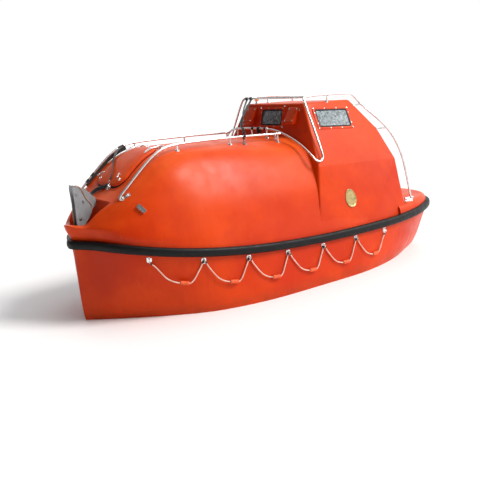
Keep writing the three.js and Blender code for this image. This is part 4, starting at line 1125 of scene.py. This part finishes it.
for name in ("bow_hook_frame", "bow_hook", "stern_hook_frame", "stern_hook"):
    dress(name, PAINTED, soften=.0022)
for name in ("window_front", "window_port", "window_starboard", "window_aft"):
    dress(name, GLASS)
for name in ("bow_fitting_port", "bow_fitting_starboard"):
    dress(name, STEEL, soften=.002)
for name in ("stern_cleat_port", "stern_cleat_starboard"):
    dress(name, STEEL, soften=.003)
dress("skeg", GELCOAT, soften=.008, segments=3)
dress("rudder", PAINTED, soften=.004)
dress("propeller", BRONZE, soften=.0015)
dress("aft_hatch", GELCOAT, soften=.006, segments=3)
dress("engine_block", IRON, soften=.02)
dress("helm_console", LINER, soften=.01)
dress("steering_wheel", VINYL)
dress("bench_port", LINER, soften=.012)
dress("bench_starboard", LINER, soften=.012)


# Forward hatch: a crowned lid with a lip and a seal, its hinges and two dog handles
def over_deck(u, v):
    start = on(LID, u, v, .3)
    hit = FORE.ray_cast(start, -LID["across"].cross(LID["up"]))
    return hit[0] if hit[0] is not None else on(LID, u, v, 0)


LID_UP = LID["across"].cross(LID["up"])


def lid_outline(inset=0.0, fine=10):
    """Half widths swell from the hinge to the middle and round in at the foot."""
    points = []
    for x, y in rounded(.540 - 2 * inset, .640 - 2 * inset, .120 - inset * .5, fine):
        share = (y + .32) / .64
        points.append((x * (1 - .22 * max(share - .45, 0) / .55 - .10 * max(.3 - share, 0) / .3), y))
    return points


def even_outline(inset, count=96):
    line = lid_outline(inset)
    line.append(line[0])
    return even([(x, y, 0) for x, y in line], length_of([(x, y, 0) for x, y in line]) / (count + .5))[:count]


steps = [(0, .006), (0, .020), (.004, .027), (.012, .0315), (.030, .036), (.060, .041), (.105, .0445), (.160, .0465),
         (.215, .0475)]
rings = [[over_deck(q.x, q.y) + LID_UP * rise for q in even_outline(inset)] for inset, rise in steps]
rings.insert(0, [over_deck(q.x, q.y) + LID_UP * .0055 for q in even_outline(.05)])
lid = object_of(loft_bm(rings, (True, True)), "hatch_lid")
finish(lid, "forward_hatch", "gelcoat", GELCOAT, replaces=["forward_hatch"], angle=50)
def shadow_apron_share(q):
    """The black seal widens at the foot of the lid into an apron, a dark sheet that stands in for the lid's shadow
    there.
    """
    return min(max((-.12 - q.y) / .16, 0), 1)


# Painted shadow: the seal's outer rows are pushed out at the foot of the lid, so black rubber covers the strip where
# the lid casts its shade.
seal = [[over_deck(q.x, q.y - out * shadow_apron_share(q)) + LID_UP * rise for q in even_outline(inset)]
        for inset, rise, out in ((-.002, -.002, .020), (-.003, .0035, .018), (.003, .0054, .010), (.030, .0052, 0), (.030, -.002, 0))]
finish(object_of(loft_bm(seal + [seal[0]]), "hatch_seal_and_shadow_apron"), "boat", "fender_rubber", RUBBER)
lip = [[over_deck(q.x, q.y) + LID_UP * rise for q in even_outline(inset)]
       for inset, rise in ((-.046, -.003), (-.043, .0040), (-.036, .0065), (-.029, .0045), (-.026, -.003))]
finish(object_of(loft_bm(lip + [lip[0]]), "hatch_coaming"), "boat", "gelcoat", GELCOAT, angle=50)

AXIS = Vector((1.378, 0, 1.706))
still, moving = [], []
for side in (1, -1):
    y = side * .188
    for low, high in ((-.038, -.014), (.014, .038)):
        still.append(rod_bm(AXIS + Vector((0, y + low, 0)), AXIS + Vector((0, y + high, 0)), .0105, 16, .002))
    moving.append(rod_bm(AXIS + Vector((0, y - .013, 0)), AXIS + Vector((0, y + .013, 0)), .0105, 16, .002))
    still.append(rod_bm(AXIS + Vector((0, y - .046, 0)), AXIS + Vector((0, y + .046, 0)), .0045, 10))
    foot, normal = drop(AXIS + Vector((-.045, y, .1)))
    still.append(round_edges(prism_bm(rounded(.070, .076, .012, 4), -.004, .005,
                                      place(foot, (0, 1, 0), normal.cross(Vector((0, 1, 0))))), .0015, 2))
    for low in (-.030, .022):
        still.append(round_edges(block_bm((AXIS.x - .050, y + low, foot.z - .002), (AXIS.x + .004, y + low + .008, AXIS.z + .004)),
                                 .002, 2))
    arm = [AXIS + Vector((.006, y, .002)), AXIS + Vector((.040, y, .010)), AXIS + Vector((.075, y, .002)),
           Vector(over_deck(LID["across"].y * y, .250)) + LID_UP * .047]
    end = Vector(over_deck(LID["across"].y * y, .215)) + LID_UP * .046
    leaf = round_edges(prism_bm(rounded(.044, .100, .010, 4), -.003, .0045, place(end, (0, 1, 0), -down)), .0014, 2)
    moving.append(leaf)
    moving.append(tube_bm(smooth(arm, 5), .0075, 12))
    for du in (-.012, .012):
        for dv in (-.030, .030):
            moving.append(bolt_bm(end + Vector((0, du, 0)) - down * dv + LID_UP * .0045, LID_UP, .0052, .004))
finish(several("hatch_hinge_feet", still), "boat", "stainless", STEEL, angle=40)
finish(several("hatch_hinge_leaves", moving), "forward_hatch", "stainless", STEEL, angle=40)

dogs = []
for u, bend in ((-.195, -.85), (.195, .85)):
    u *= LID["across"].y
    seat = over_deck(u, -.245) + LID_UP * .036
    dogs.append(turned_bm(seat, LID_UP, [(-.010, .017), (.004, .017), (.006, .0155), (.006, .009), (.030, .009),
                                         (.033, .012), (.040, .012), (.042, .010)], 20))
    hinge = seat + LID_UP * .036
    tip = hinge + LID["up"] * .052 + LID["across"] * (-.030 * (1 if u > 0 else -1))
    dogs.append(tube_bm(smooth([hinge - (tip - hinge) * .3, hinge, (hinge + tip) / 2 + LID_UP * .004, tip, tip - LID_UP * .018], 5),
                        lambda t: .0078 - .0015 * t, 14))
finish(several("hatch_handles", dogs), "forward_hatch", "stainless", STEEL, angle=45)


# Webbing: flat straps with a slight twist, their shackle and lashing
def strap_bm(points, width, thick=.0028, aim=(0, 0, 1), twist=0.0, step=.012):
    """A flat strap along a line; its flat face looks towards aim, turned by twist from end to end."""
    pts = even(points, step)
    bm = bmesh.new()
    rings = []
    for i, p in enumerate(pts):
        t = (pts[min(i + 1, len(pts) - 1)] - pts[max(i - 1, 0)]).normalized()
        face = Vector(aim) - t * t.dot(Vector(aim))
        face.normalize()
        face.rotate(Matrix.Rotation(twist * i / (len(pts) - 1), 3, t))
        side = t.cross(face)
        half, h = width / 2, thick / 2
        section = ((-half, -h * .4), (-half * .86, -h), (0, -h), (half * .86, -h), (half, -h * .4),
                   (half, h * .4), (half * .86, h), (0, h), (-half * .86, h), (-half, h * .4))
        rings.append([bm.verts.new(p + side * a + face * b) for a, b in section])
    for one, two in zip(rings, rings[1:]):
        for j in range(10):
            k = (j + 1) % 10
            bm.faces.new((one[j], one[k], two[k], two[j]))
    bm.faces.new(list(reversed(rings[0])))
    bm.faces.new(rings[-1])
    bmesh.ops.recalc_face_normals(bm, faces=bm.faces)
    return bm


def shackle_bm(at, along, across, size=.022, wire=.0055):
    """A bow shackle with its pin"""
    at, along, across = Vector(at), Vector(along).normalized(), Vector(across).normalized()
    bow = [at + across * size * .72 * math.cos(a) + along * size * math.sin(a) for a in
           [math.pi * (i / 10) for i in range(11)]]
    bow = [bow[0] - along * size * .8] + bow + [bow[-1] - along * size * .8]
    pin = at - along * size * .8
    return put_in(tube_bm(smooth(bow, 2), wire, 10),
                  rod_bm(pin - across * size * 1.15, pin + across * size * 1.15, wire * 1.1, 12, .001))


# Painted shade: the black strap hung 50 mm deep under the starboard rail is webbing. It is widened to fill the rail's
# shaded underside as well.
hang = [(x, y, z - .030 - .004 * math.sin(i * 1.7)) for i, (x, y, z) in
        enumerate((x, -.425, z) for x, z in ((1.990, 1.366), (1.90, 1.444), (1.80, 1.528), (1.70, 1.605), (1.62, 1.657), (1.54, 1.694), (1.45, 1.717)))]
wraps = [strap_bm(smooth([np.array(p) for p in hang], 6), .050, .004, (0, 1, 0))]
for x in (1.500, 1.528, 1.90, 1.97):
    at = along_rail(x) * Vector((1, -1, 1))
    ahead = (along_rail(x + .02) - along_rail(x - .02)).normalized() * Vector((1, -1, 1))
    wraps.append(tube_bm([at - ahead * .022, at - ahead * .008, at + ahead * .008, at + ahead * .022], .0165, 16))
finish(several("bow_rail_webbing_and_shade", wraps), "boat", "webbing", WEBBING, angle=45)

fall = [(1.515, -.404, 1.706), (1.60, -.36, 1.672), (1.715, -.25, 1.606), (1.790, -.15, 1.560), (1.880, -.02, 1.497),
        (1.930, .040, 1.440), (1.955, .052, 1.412)]
forms = [strap_bm(smooth([np.array(p) for p in fall], 8), .058, .0055, (.5, .1, .85), 1.3)]
finish(several("hatch_strap", forms), "forward_hatch", "webbing", WEBBING, angle=45)
lash = [(1.985, .05, 1.378), (2.005, -.02, 1.350), (2.045, -.11, 1.325), (2.095, -.14, 1.290), (2.165, -.075, 1.262), (2.205, -.055, 1.250)]
forms = [tube_bm(even(smooth([np.array(p) for p in [(x, y + o, z + h) for x, y, z in lash]], 6), .006), r, 10)
         for o, h, r in ((0, 0, .011), (.014, -.004, .010), (.006, .012, .009))]
finish(several("bow_lashing", forms), "boat", "webbing", WEBBING, angle=45)
foot, normal = drop((1.990, .050, 1.5))
forms = [shackle_bm((1.972, .048, 1.393), (.55, -.2, -.6), (0, .95, -.3), .024, .0062),
         shackle_bm((1.995, .085, 1.373), (-.4, -.6, .3), (.5, -.3, .5), .018, .0050),
         turned_bm(foot, normal, [(-.004, .028), (.005, .028), (.007, .026), (.007, .013), (.018, .011), (.019, .002)], 20)]
finish(several("bow_shackles", forms), "boat", "stainless", STEEL, angle=45)

# Copper-coloured lanyard and bolts on the bow hook's near cheek
cheek = [(2.372, .0425, 1.424), (2.330, .0440, 1.412), (2.290, .0445, 1.352), (2.262, .0440, 1.280), (2.222, .0440, 1.226),
         (2.205, .0430, 1.200), (2.212, .0425, 1.165)]
forms = [tube_bm(even(smooth([np.array(p) for p in cheek], 8), .004), .0038, 10)]
finish(several("hook_lanyard", forms), "boat", "rope", COPPER, angle=60)
forms = []
for stern in (False, True):
    spot = (lambda x, y, z: Vector((.045 - x, y, z - .24))) if stern else (lambda x, y, z: Vector((x, y, z)))
    for side in (1, -1):
        for x, z in ((2.368, 1.335), (2.345, 1.075)):
            forms.append(bolt_bm(spot(x, side * .040, z), (0, side, 0), .011, .009))
    for x in (2.315, 2.38):
        for side in (1, -1):
            forms.append(bolt_bm(spot(x, side * .062, .899), (0, 0, 1), .0085, .008))
finish(several("hook_bolts", forms), "boat", "stainless", DARK_STEEL, angle=40)

# Chrome fittings at the handrails' feet
forms = []
for side in (1, -1):
    hit, normal = drop((2.004, .449 * side, 1.5))
    flat = place(hit, normal.cross(Vector((1, 0, 0))), Vector((1, 0, 0)) - normal * normal.x)
    forms.append(round_edges(prism_bm(rounded(.046, .060, .012, 4), -.006, .010, flat), .003, 2))
    forms.append(turned_bm(hit, normal, [(.008, .014), (.022, .013), (.027, .009), (.028, .002)], 16))
    foot = Vector(HANDRAIL[0]) * Vector((1, side, 1))
finish(several("rail_foot_fittings", forms), "boat", "stainless", STEEL, angle=40)

# Sling: two straps cross from the roof bar to a loop round the port handrail
loop_at = along_rail(.440)
forms, knots = [], []
for top_y, cross in ((-.505, .016), (-.425, -.016)):
    line_in = [(-.398, top_y, 2.052), (-.10, top_y * .62 + .10, 1.955), (.20, .115 + cross * .8, 1.852), (.305, .24 + cross, 1.808),
               (.412, .405 + cross * .8, 1.757), (.440, loop_at.y + cross * 1.3, 1.722), (.449, loop_at.y + cross, 1.692),
               (.452, loop_at.y, 1.672)]
    forms.append(strap_bm(smooth([np.array(q) for q in line_in], 8), .026, .0045, (.6, .5, .6), 1.4 if cross > 0 else -1.1))
    wrap = [Vector((-.396, top_y, 2.064)) + Vector((math.cos(a), 0, math.sin(a))) * .0155 for a in
            [math.pi * (i / 9) * 1.9 - .6 for i in range(10)]]
    forms.append(strap_bm(wrap, .034, .004, (0, 0, 1), step=.006) if False else
                 tube_bm([(-.396, top_y - .020, 2.064), (-.396, top_y - .006, 2.064), (-.396, top_y + .008, 2.064),
                          (-.396, top_y + .020, 2.064)], .0172, 16))
finish(several("sling_straps", forms), "boat", "webbing", WEBBING, replaces=["sling_strap"], angle=45)
foot, normal = drop((.455, loop_at.y + .012, 1.68))
forms = [shackle_bm((.452, loop_at.y + .001, 1.656), (0, 0, 1), (.8, .5, 0), .019, .0055),
         turned_bm(foot, normal, [(-.004, .026), (.004, .026), (.006, .024), (.006, .010), (.014, .009), (.016, .002)], 20)]
finish(several("sling_shackle", forms), "boat", "stainless", DARK_STEEL, angle=45)

# Small black clamps on the arch, an eye fitting and the front window's corner clips
forms = [tube_bm([(-.0285, y - w, 1.7405), (-.0285, y + w, 1.7405)], .0175, 16) for y, w in ((.02, .016), (.130, .020), (.245, .013))]
forms.append(round_edges(block_bm((-.045, .108, 1.690), (-.012, .152, 1.735)), .004, 2))
finish(several("arch_clamps", forms), "boat", "fender_rubber", RUBBER, angle=40)
forms = []
hit, normal = drop((-.06, .378, 1.8))
forms.append(turned_bm(hit, normal, [(-.004, .024), (.004, .024), (.006, .022), (.006, .008), (.012, .008)], 18))
circle = [hit + normal * .022 + Vector((math.cos(a), 0, 0)) * .016 + normal * (math.sin(a) * .016) for a in
          [i * math.pi / 10 for i in range(20)]]
forms.append(tube_bm(circle, .0048, 10, closed=True))
for y, z in ((-.219, 1.953), (.210, 1.967), (.469, 1.920), (-.205, 1.725), (.205, 1.725)):
    hit, normal = drop((0, y, z), (-1, 0, 0))
    forms.append(turned_bm(hit, normal, [(-.003, .013), (.004, .013), (.006, .011), (.007, .003)], 14))
finish(several("front_clips", forms), "boat", "stainless", STEEL, angle=40)


# Cowls: a bent duct, its mouth open and dark at the foot
def cowl_bm(y0, y1):
    side_view = [(-.389, 1.955), (-.372, 1.955), (-.262, 1.790), (-.262, 1.758), (-.345, 1.770), (-.362, 1.835)]
    bm = bmesh.new()
    rings = [[bm.verts.new((x, y, z)) for x, z in side_view] for y in (y0, y1)]
    for j in range(6):
        k = (j + 1) % 6
        bm.faces.new((rings[0][j], rings[0][k], rings[1][k], rings[1][j]))
    bm.faces.new(rings[1])
    bm.faces.new(list(reversed(rings[0])))
    bmesh.ops.recalc_face_normals(bm, faces=bm.faces)
    return bm


for word, y0 in (("port", .300), ("starboard", -.460)):
    shell = object_of(round_edges(cowl_bm(y0, y0 + .160), .008, 4, 20), f"cowl_{word}_shell")
    hollow = block_bm((-.330, y0 + .012, 1.700), (-.274, y0 + .148, 1.800))
    shell.data.materials.append(GELCOAT)
    shell.data.materials.append(LINER)
    apply_cut(shell, hollow, None)
    plug = [bolt_bm(Vector((-.372 + t * .110, y0 + v, 1.955 - t * .165)) + Vector((.83, 0, .55)) * .002, (.83, 0, .55), .006, .005)
            for t in (.12, .9) for v in (.016, .144)]
    finish(shell, "boat", "gelcoat", GELCOAT, replaces=[f"cowl_{word}"], angle=35)
    finish(several(f"cowl_{word}_bolts", plug), "boat", "stainless", STEEL)

# Round plate on the port side with a thin rim, and the roof lamp on its stem
PLATE = place((-.618, .985, .886), (-1, 0, 0), (0, -.236, .972))
hit = SKIN.ray_cast(on(PLATE, 0, 0, .2), -PLATE["across"].cross(PLATE["up"]))
PLATE = place(hit[0], (-1, 0, 0), (0, -.236, .972))
def egg(grow, count=48):
    points = []
    for i in range(count):
        a = i * 2 * math.pi / count
        narrow = 1 - .10 * math.sin(a)
        points.append(((.084 + grow) * math.cos(a) * narrow, (.108 + grow) * math.sin(a)))
    return points


def egg_rings(rows):
    rings = []
    for grow, lift in rows:
        rings.append([on(PLATE, x, y, lift) for x, y in egg(grow)])
    return rings


cover = object_of(loft_bm(egg_rings([(0, -.012), (0, .006), (-.002, .0085), (-.005, .0092), (-.009, .0088), (-.012, .0065), (-.030, .0068),
                                     (-.060, .0078)]), (True, True)), "side_cover_plate")
finish(cover, "boat", "bronze", BRONZE, replaces=["side_cover"], angle=50)
screws = [bolt_bm(on(PLATE, x * .93, y * .93, .0075), PLATE["across"].cross(PLATE["up"]), .0040, .003) for x, y in egg(0, 8)]
finish(several("side_cover_screws", screws), "boat", "bronze", BRONZE)

foot = Vector((-.455, -.390, 1.960))
hit, normal = drop((foot.x, foot.y, 2.2))
stem = turned_bm(hit, (0, 0, 1), [(-.006, .030), (.004, .030), (.006, .028), (.007, .016), (2.026 - hit.z, .0145), (2.028 - hit.z, .024),
                                  (2.0335 - hit.z, .025), (2.0345 - hit.z, .010)], 24)
finish(several("lamp_stem", [stem]), "boat", "stainless", STEEL)
lens = turned_bm((foot.x, foot.y, 2.034), (0, 0, 1), [(0, .0235), (.004, .026), (.012, .0255), (.020, .0255), (.028, .022), (.034, .014), (.037, .004)], 28)
finish(several("lamp_lens", [lens]), "boat", "amber_lamp", AMBER, replaces=["roof_lamp"], angle=60)


# Helm seat: two crowned cushions with piped edges on a moulded base
def cushion(name, centre, size):
    """A block swollen by cloth pressure, then pulled in at its seam and smoothed."""
    low = Vector(centre) - Vector(size) / 2 + Vector((.007,) * 3)
    high = Vector(centre) + Vector(size) / 2 - Vector((.007,) * 3)
    obj = object_of(round_edges(block_bm(low, high), .016, 3, 30), name)
    remesh = obj.modifiers.new("remesh", "REMESH")
    remesh.mode = "VOXEL"
    remesh.voxel_size = .008
    mesh = bpy.data.meshes.new_from_object(obj.evaluated_get(bpy.context.evaluated_depsgraph_get()))
    obj.modifiers.clear()
    obj.data = mesh
    start = [v.co.copy() for v in mesh.vertices]
    cloth = obj.modifiers.new("cloth", "CLOTH")
    cloth.settings.use_pressure = True
    cloth.settings.uniform_pressure_force = 4
    cloth.settings.effector_weights.gravity = 0
    cloth.settings.tension_stiffness = 12
    cloth.point_cache.frame_start, cloth.point_cache.frame_end = 1, 20
    for frame_at in range(1, 21):
        bpy.context.scene.frame_set(frame_at)
    swollen = obj.evaluated_get(bpy.context.evaluated_depsgraph_get())
    moved = [v.co.copy() for v in swollen.data.vertices]
    obj.modifiers.clear()
    bpy.context.scene.frame_set(1)
    for v, was, now in zip(obj.data.vertices, start, moved):
        step = now - was
        v.co = was + step * min(1, .011 / max(step.length, 1e-6))
    middle = Vector(centre)
    flat = min(range(3), key=lambda i: size[i])
    for v in obj.data.vertices:
        away = v.co[flat] - middle[flat]
        others = [i for i in range(3) if i != flat]
        edge = max(abs(v.co[i] - middle[i]) / (size[i] / 2) for i in others)
        if edge > .9:
            pull = math.exp(-(away / .007) ** 2) * .006
            for i in others:
                v.co[i] -= math.copysign(pull, v.co[i] - middle[i]) * (abs(v.co[i] - middle[i]) / (size[i] / 2) > .9)
    finer = obj.modifiers.new("finer", "SUBSURF")
    finer.levels = finer.render_levels = 1
    mesh = bpy.data.meshes.new_from_object(obj.evaluated_get(bpy.context.evaluated_depsgraph_get()))
    obj.modifiers.clear()
    obj.data = mesh
    finish(obj, "boat", "cushion", VINYL, angle=60)
    return obj


base = several("helm_seat_base", [
    round_edges(block_bm((-1.060, -.190, -.0197), (-.760, .190, .985)), .03, 4),
    round_edges(block_bm((-1.075, -.215, .985), (-.655, .215, 1.003)), .006, 3),
    round_edges(block_bm((-1.108, -.205, .985), (-1.092, .205, 1.505)), .006, 3),
])
finish(base, "boat", "liner", LINER, replaces=["helm_seat"])
cushion("helm_seat_cushion", (-.855, 0, 1.0320), (.420, .440, .058))
cushion("helm_back_cushion", (-1.066, 0, 1.285), (.052, .420, .440))


# Floor at the waterline, open inside the hull, and light
def waterline():
    points = []
    for s in span(0, LAST, 6):
        half = hull_half(s, 6)
        below = next(i for i, p in enumerate(half) if p[2] <= 0)
        a, b = half[below - 1], half[below]
        point = a + (b - a) * (a[2] / (a[2] - b[2]))
        normal = (sheer(s, 1) - sheer(s)) * (1, 1, 0)
        inside = point - normal * .02
        points.append((inside[0], max(inside[1], 0)))
    return points


port = waterline()
inner = port + [(x, -y) for x, y in reversed(port[1:-1])]
bm = bmesh.new()
near = [bm.verts.new((x, y, 0)) for x, y in inner]
rings = [near]
for radius in (3.2, 6, 60):
    rings.append([bm.verts.new((radius * math.cos(a), radius * math.sin(a), 0))
                  for a in (math.atan2(y, x) for x, y in inner)])
for one, two in zip(rings, rings[1:]):
    for j in range(len(near)):
        k = (j + 1) % len(near)
        bm.faces.new((one[j], one[k], two[k], two[j]))
bmesh.ops.recalc_face_normals(bm, faces=bm.faces)
ground = object_of(bm, "floor")
ground.data.materials.append(FLOOR)


def lamp(name, at, target, size, power, colour=(1, 1, 1)):
    data = bpy.data.lights.new(name, "AREA")
    data.shape = "DISK"
    data.size = size
    data.energy = power
    data.color = colour
    obj = bpy.data.objects.new(name, data)
    bpy.context.scene.collection.objects.link(obj)
    at = Vector(at)
    obj.location = at
    obj.rotation_euler = (Vector(target) - at).to_track_quat("-Z", "Y").to_euler()
    return obj


sun = bpy.data.lights.new("sun", "SUN")
sun.energy = 2.7
sun.angle = 22 * RAD
sun.color = (1, .98, .95)
sun = bpy.data.objects.new("sun", sun)
bpy.context.scene.collection.objects.link(sun)
sun.rotation_euler = Vector((4.6, -6.0, -7.2)).to_track_quat("-Z", "Y").to_euler()
lamp("aft_panel", (-9, 5, 4.5), (-.5, 0, .8), 6, 160, (1, .99, .97))
world = bpy.data.worlds.new("world")
bpy.context.scene.world = world
world.use_nodes = True
sky = world.node_tree
split = sky.nodes.new("ShaderNodeSeparateXYZ")
sky.links.new(sky.nodes.new("ShaderNodeTexCoord").outputs["Generated"], split.inputs[0])
fade = sky.nodes.new("ShaderNodeMapRange")
fade.interpolation_type = "SMOOTHSTEP"
for name, value in (("From Min", -.45), ("From Max", .50), ("To Min", 1.03), ("To Max", .15)):
    fade.inputs[name].default_value = value
sky.links.new(split.outputs["X"], fade.inputs["Value"])
sky.links.new(fade.outputs["Result"], sky.nodes["Background"].inputs["Strength"])
sky.nodes["Background"].inputs["Color"].default_value = (.985, .99, 1, 1)
bpy.context.scene.view_settings.view_transform = "Standard"
